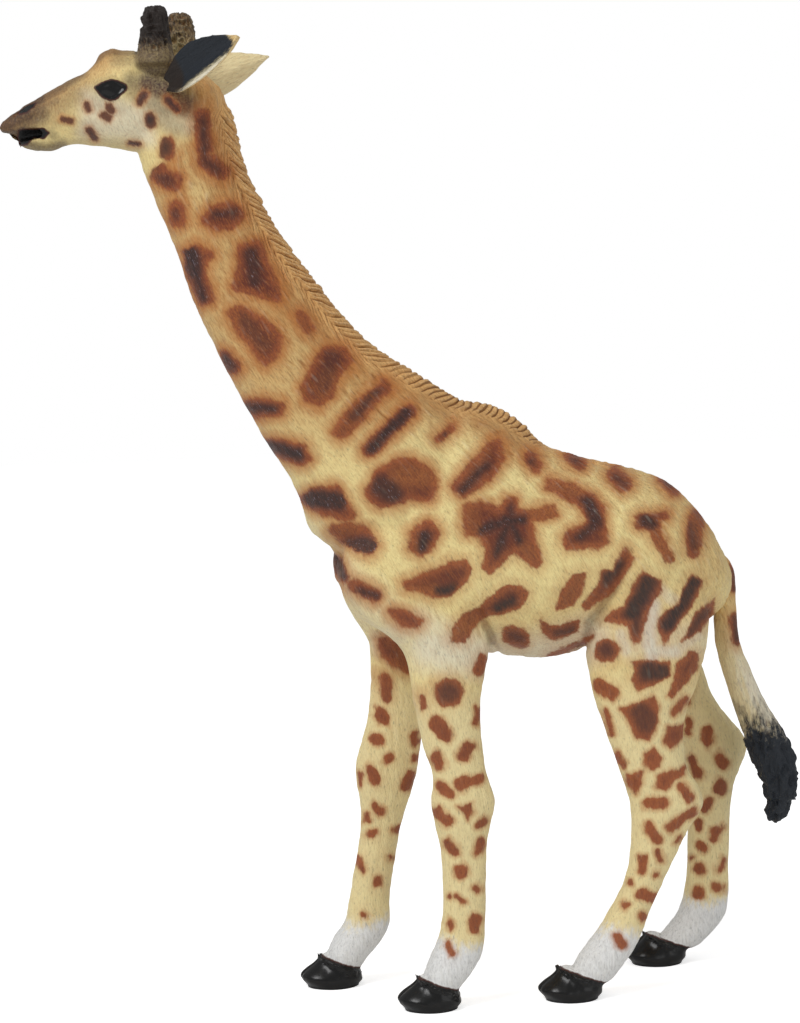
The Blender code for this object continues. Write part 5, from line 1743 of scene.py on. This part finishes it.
COLOURS = {
    "cream": linear(246, 225, 158),
    "ochre": linear(202, 146, 84),
    "mane": linear(236, 188, 122),
    "pale": linear(236, 229, 206),
    "white": linear(240, 240, 238),
    "umber": linear(76, 55, 44),
    "halo": linear(184, 108, 48),
    "spot": linear(160, 86, 48),
    "deep": linear(106, 47, 33),
    "core": linear(44, 31, 36),
    # Colour of the painted shade in the hollows of the sculpted hair
    "hollow_shade": linear(140, 82, 36),
    "black": linear(20, 20, 20),
    "rim": linear(74, 36, 26),
    "tan": linear(172, 118, 62),
    # Colour of the painted shade in the mane's grooves
    "crevice_shade": linear(112, 66, 30),
    "grey": linear(176, 174, 170),
    "rust": linear(168, 100, 52),
    "slate": linear(34, 39, 46),
    "soot": linear(40, 32, 28),
    "glint": linear(150, 146, 160),
}


class Wiring:
    """Adds shader nodes to one material and joins them."""

    def __init__(self, name):
        self.material = bpy.data.materials.new(name)
        self.material.use_nodes = True
        self.tree = self.material.node_tree
        self.shader = self.tree.nodes["Principled BSDF"]

    def put(self, socket, value):
        if isinstance(value, bpy.types.NodeSocket):
            self.tree.links.new(value, socket)
        else:
            socket.default_value = value

    def node(self, kind, *values, **settings):
        """A new node with its settings, and its inputs filled from the first on."""
        added = self.tree.nodes.new("ShaderNode" + kind)
        for key, value in settings.items():
            setattr(added, key, value)
        for socket, value in zip(added.inputs, values):
            self.put(socket, value)
        return added

    def attribute(self, name):
        return self.node("Attribute", attribute_name=name).outputs["Vector"]

    def channels(self, name):
        return list(self.node("SeparateXYZ", self.attribute(name)).outputs)

    def math(self, operation, first, second=0.0):
        return self.node("Math", first, second, operation=operation).outputs[0]

    def plus(self, first, second):
        return self.math("ADD", first, second)

    def times(self, first, second):
        return self.math("MULTIPLY", first, second)

    def swing(self, noise, size):
        """Noise about its middle, of the given size."""
        return self.times(self.math("SUBTRACT", noise, 0.5), size)

    def step(self, *values):
        """A smooth step: the value, its low and high, and what it gives there if not 0 and 1."""
        return self.node("MapRange", *values, interpolation_type="SMOOTHSTEP").outputs[0]

    def stretched(self, vector, scale):
        return self.node("VectorMath", vector, scale, operation="MULTIPLY").outputs[0]

    def noise(self, vector, scale, detail, roughness):
        added = self.node("TexNoise")
        names = ("Vector", "Scale", "Detail", "Roughness")
        for name, value in zip(names, (vector, scale, detail, roughness)):
            self.put(added.inputs[name], value)
        return added.outputs["Fac"]

    def mix(self, share, first, second):
        added = self.node("Mix", share, data_type="RGBA")
        self.put(added.inputs[6], first)
        self.put(added.inputs[7], second)
        return added.outputs[2]

    def layers(self, colour, *layers):
        """A colour with others laid over it in turn, each given by its share and its name."""
        for share, name in layers:
            colour = self.mix(share, colour, COLOURS[name])
        return colour


def coat_material(name):
    """Sprayed and brushed paint on soft plastic, laid on by the painted attributes, with painted
    shade in the hollows, folds and grooves and painted highlights on the raised hair.
    """
    w = Wiring(name)
    distance, core, halo = w.channels("paint_a")
    ochre, pale, umber = w.channels("paint_b")
    black, cavity, slate = w.channels("paint_c")
    pastern, mane, gloss = w.channels("paint_d")
    light, leg, crevice_shade = w.channels("paint_e")
    fur = w.attribute("fur")
    place = w.node("TexCoord").outputs["Object"]
    streak = w.noise(w.stretched(fur, (0.55, 2.6, 2.6)), 1.0, 3.0, 0.6)
    grit = w.noise(place, 2600.0, 3.0, 0.6)
    mottle = w.noise(place, 190.0, 3.0, 0.55)
    ragged = w.noise(w.stretched(fur, (0.6, 1.3, 1.3)), 1.0, 3.0, 0.65)
    hair = w.noise(w.stretched(fur, (0.9, 4.6, 4.6)), 1.0, 2.0, 0.6)
    speck = w.noise(w.stretched(fur, (1.1, 3.4, 3.4)), 1.0, 2.0, 0.6)

    ragged_edge = w.plus(distance, w.swing(ragged, w.step(halo, 0.2, 0.9, 0.60, 0.80)))
    thinned = w.step(w.math("SUBTRACT", halo, w.times(leg, 0.3)), 1.0, -0.15, -0.06, 0.10)
    edge = w.plus(ragged_edge, thinned)
    softness = w.step(halo, 0.2, 0.9, 0.17, 0.28)
    spot = w.step(w.math("DIVIDE", edge, softness), 1.0, -0.8)
    around = w.times(w.step(edge, 1.50, -0.05), halo)
    rim = w.times(w.step(edge, 0.62, -0.05), w.step(halo, 0.1, 0.6, 0.55, 0.25))
    inner = w.times(core, w.step(edge, 0.10, -0.35))
    deep = w.step(edge, -0.15, -1.10)
    # Strokes in the grooves of the bumped hair: partly brushed tan strokes, partly painted shade in
    # those grooves
    stroke = w.math("MAXIMUM", w.step(streak, 0.56, 0.34), w.step(hair, 0.50, 0.34, 0.0, 0.7))
    stroked = w.times(w.step(leg, 0.0, 1.0, 1.0, 0.6), w.step(ochre, 0.0, 0.7, 0.22, 0.54))
    whiteness = w.plus(pastern, w.swing(ragged, 0.9))
    glint = w.times(w.times(core, w.step(hair, 0.62, 0.70)), w.step(halo, 0.5, 0.9, 0.0, 0.60))

    colour = w.layers(
        COLOURS["cream"],
        (w.times(ochre, w.step(mottle, 0.2, 0.75, 0.65, 1.15)), "ochre"),
        (w.times(mane, 0.75), "mane"),
        # Painted shade in the mane's grooves
        (w.step(crevice_shade, 0.30, 0.85, 0.0, 0.76), "crevice_shade"),
        (pale, "pale"),
        # Tan strokes in the hair's grooves, partly painted shade
        (w.times(stroke, stroked), "tan"),
        # Umber: brown paint of the face and horns, and painted shade in the body's folds and along
        # the jaw
        (w.times(umber, w.step(grit, 0.35, 0.62, 0.84, 1.0)), "umber"),
        (w.step(whiteness, 0.18, 0.82), "white"),
        # Grey strokes in the hair's grooves on the white pasterns: painted shade
        (w.times(w.step(whiteness, 0.3, 0.8), w.times(stroke, 0.30)), "grey"),
        (w.math("MAXIMUM", w.times(around, 0.74), rim), "halo"),
    )
    tone = w.layers(
        COLOURS["spot"],
        (w.times(deep, w.step(leg, 0.0, 1.0, 1.0, 0.55)), "deep"),
        (w.step(mottle, 0.42, 0.66, 0.0, 0.35), "deep"),
        (w.times(light, w.step(streak, 0.30, 0.68, 0.50, 1.0)), "rust"),
        (w.step(grit, 0.44, 0.62, 0.0, w.step(leg, 0.0, 1.0, 0.45, 0.25)), "deep"),
        (w.step(hair, 0.50, 0.66, 0.0, w.step(ochre, 0.0, 0.6, 0.22, 0.50)), "halo"),
        (w.step(leg, 0.0, -1.0, 0.0, 0.55), "umber"),
        (w.times(inner, w.step(streak, 0.75, 0.35, 0.72, 1.0)), "core"),
        (glint, "glint"),
    )
    # Strength of the painted shade in the hair's hollows: weaker on the white pasterns, stronger
    # where the coat is ochre
    hollow_shade_share = w.times(w.step(pastern, 0.0, 1.0, 1.0, 0.2), w.step(ochre, 0.0, 0.7, 0.22, 0.55))
    colour = w.layers(
        w.mix(w.times(spot, 0.96), colour, tone),
        # Painted shade in the hollows, then a painted highlight on the raised hair
        (w.times(w.step(cavity, -0.015, -0.11), hollow_shade_share), "hollow_shade"),
        (w.times(w.step(cavity, 0.03, 0.12), 0.10), "pale"),
    )
    slated = w.plus(slate, w.swing(speck, w.step(slate, 0.75, 1.0, 1.3, 0.4)))
    soot = w.mix(w.step(umber, 0.50, 0.70), COLOURS["slate"], COLOURS["soot"])
    dark_edge = w.plus(black, w.swing(ragged, 0.30))
    colour = w.layers(
        w.mix(w.step(slated, 0.0, 0.80), colour, soot),
        (w.step(dark_edge, 0.26, 0.12), "rim"),
        (w.step(dark_edge, 0.10, -0.02), "black"),
    )
    height = w.plus(w.plus(w.times(streak, 0.45), w.times(hair, 0.40)), w.times(grit, 0.15))
    bump = w.node("Bump")
    w.put(bump.inputs["Distance"], 0.00055)
    w.put(bump.inputs["Strength"], w.step(gloss, 0.2, 0.8, 0.75, 0.05))
    w.put(bump.inputs["Height"], height)
    w.put(w.shader.inputs["Base Color"], colour)
    w.put(w.shader.inputs["Roughness"], w.step(gloss, 0.3, 0.9, 0.47, 0.25))
    w.put(w.shader.inputs["Specular IOR Level"], 0.32)
    w.put(w.shader.inputs["Normal"], bump.outputs[0])
    return w.material


SLOTS = {
    "body_left": "painted_coat",
    "body_right": "painted_coat",
    "neck": "painted_coat",
    "head": "painted_head",
    "ear_left": "painted_ears",
    "ear_right": "painted_ears",
    "foreleg_left": "painted_legs",
    "foreleg_right": "painted_legs",
    "hindleg_left": "painted_legs",
    "hindleg_right": "painted_legs",
    "tail": "painted_tail",
}


def place_piece(name, mesh, material, offset):
    """Puts one piece in the shared frame, in place of its CAD node."""
    points, normals = read_mesh(mesh)
    write_points(mesh, points + np.array(offset))
    mesh.materials.clear()
    mesh.materials.append(material)
    for face in mesh.polygons:
        face.use_smooth = True
    piece = linked("giraffe_" + name, mesh)
    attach(piece, "root")
    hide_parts(name)


def frame_offset():
    """How far the shared frame lies from the frame the figure is drawn in, found at the tail."""
    shape = tail_shape()
    low = Vector([min(point.co[axis] for point in shape.verts) for axis in range(3)])
    shape.free()
    return Vector(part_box("tail")[0]) - low


def build_figure(offset):
    """The whole figure: one sculpted and painted skin in its pieces, the tail and the ears."""
    chance = random.Random(7)
    coarse = coarse_skin()
    line = mane_line(mesh_tree(coarse))
    skin = fine_skin(coarse, chance)
    points, normals = read_mesh(skin)
    face = (region_masks(points)[0] > 0.3) & (points[:, 2] > FINE_HEIGHT)
    skin = refined(skin, (mane_places(points, line)[1] < FINE_MANE_REACH) | face)
    skin = paint(sculpt(skin, line), line)
    cut_soles(skin)
    materials = {slot: coat_material(slot) for slot in sorted(set(SLOTS.values()))}
    meshes = split_skin(skin)
    meshes["tail"] = paint_tail(tail_mesh(chance))
    for side, name in ((1, "ear_left"), (-1, "ear_right")):
        meshes[name] = paint_ear(ear_mesh(side), side)
    for name, mesh in meshes.items():
        place_piece(name, mesh, materials[SLOTS[name]], offset)


def cut_soles(mesh):
    """The soles cut level with the ground."""
    shape = bmesh.new()
    shape.from_mesh(mesh)
    everything = shape.verts[:] + shape.edges[:] + shape.faces[:]
    cut = bmesh.ops.bisect_plane(
        shape, geom=everything, plane_co=(0, 0, 0), plane_no=(0, 0, -1), clear_outer=True
    )
    rims = [item for item in cut["geom_cut"] if isinstance(item, bmesh.types.BMEdge)]
    soles = bmesh.ops.edgeloop_fill(shape, edges=rims)
    bmesh.ops.triangulate(shape, faces=soles["faces"])
    face_outwards(shape)
    shape.to_mesh(mesh)
    shape.free()


def add_light(name, place, aim, size, power):
    """A round soft light that faces its aim."""
    lamp = bpy.data.lights.new(name, "AREA")
    lamp.shape = "DISK"
    lamp.size = size
    lamp.energy = power
    added = linked(name, lamp)
    added.location = place
    added.rotation_mode = "QUATERNION"
    added.rotation_quaternion = (aim - place).to_track_quat("-Z", "Y")


def add_floor():
    """A wide pale floor, nearly white where the camera sees it."""
    mesh = bpy.data.meshes.new("floor")
    sides = ((-1, -1), (1, -1), (1, 1), (-1, 1))
    corners = [(x * FLOOR_REACH, y * FLOOR_REACH, 0) for x, y in sides]
    mesh.from_pydata(corners, [], [(0, 1, 2, 3)])
    floor = linked("floor", mesh)
    w = Wiring("floor")
    seen = w.node("LightPath").outputs["Is Camera Ray"]
    w.put(w.shader.inputs["Base Color"], (0.93, 0.93, 0.93, 1))
    w.put(w.shader.inputs["Roughness"], 0.9)
    w.put(w.shader.inputs["Specular IOR Level"], 0.1)
    w.put(w.shader.inputs["Emission Color"], (1, 1, 1, 1))
    w.put(w.shader.inputs["Emission Strength"], w.times(seen, FLOOR_GLOW))
    mesh.materials.append(w.material)


def set_world():
    """Soft white surroundings, plain white where the camera sees them."""
    world = bpy.data.worlds.new("studio")
    bpy.context.scene.world = world
    world.use_nodes = True
    tree = world.node_tree
    tree.nodes.clear()
    output = tree.nodes.new("ShaderNodeOutputWorld")
    blend = tree.nodes.new("ShaderNodeMixShader")
    rays = tree.nodes.new("ShaderNodeLightPath")
    tree.links.new(rays.outputs["Is Camera Ray"], blend.inputs[0])
    for socket, strength in zip(blend.inputs[1:], (WORLD_LIGHT, 1.0)):
        white = tree.nodes.new("ShaderNodeBackground")
        white.inputs["Color"].default_value = (1, 1, 1, 1)
        white.inputs["Strength"].default_value = strength
        tree.links.new(white.outputs[0], socket)
    tree.links.new(blend.outputs[0], output.inputs["Surface"])


def set_camera(offset):
    place, right, up, ahead = camera_axes()
    lens = bpy.data.cameras.new("camera")
    lens.sensor_width = SENSOR_WIDTH
    lens.lens = SENSOR_WIDTH * FOCAL_PIXELS / PHOTO_HEIGHT
    lens.clip_start = 0.01
    lens.clip_end = 20
    camera = linked("camera", lens)
    turn = Matrix((right, up, -ahead)).transposed().to_4x4()
    camera.matrix_world = Matrix.Translation(place + offset) @ turn
    bpy.context.scene.camera = camera


def set_lights(offset):
    place, right, up, ahead = camera_axes()
    aim = CAMERA_AIM + offset
    lights = (("key", KEY_ARMS, KEY_SIZE, KEY_POWER), ("fill", FILL_ARMS, FILL_SIZE, FILL_POWER))
    for name, (near, beside, above), size, power in lights:
        spot = aim - ahead * near + right * beside + up * above
        add_light(name, spot, aim, size, power)


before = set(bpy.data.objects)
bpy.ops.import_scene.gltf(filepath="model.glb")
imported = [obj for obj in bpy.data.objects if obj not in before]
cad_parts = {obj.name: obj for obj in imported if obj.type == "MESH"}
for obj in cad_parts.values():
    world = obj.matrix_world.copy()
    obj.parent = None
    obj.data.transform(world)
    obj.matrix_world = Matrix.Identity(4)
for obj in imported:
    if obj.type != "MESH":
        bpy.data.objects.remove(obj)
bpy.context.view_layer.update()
offset = frame_offset()
build_figure(offset)
add_floor()
set_world()
set_lights(offset)
set_camera(offset)
bpy.context.scene.view_settings.view_transform = "Standard"
bpy.context.view_layer.update()
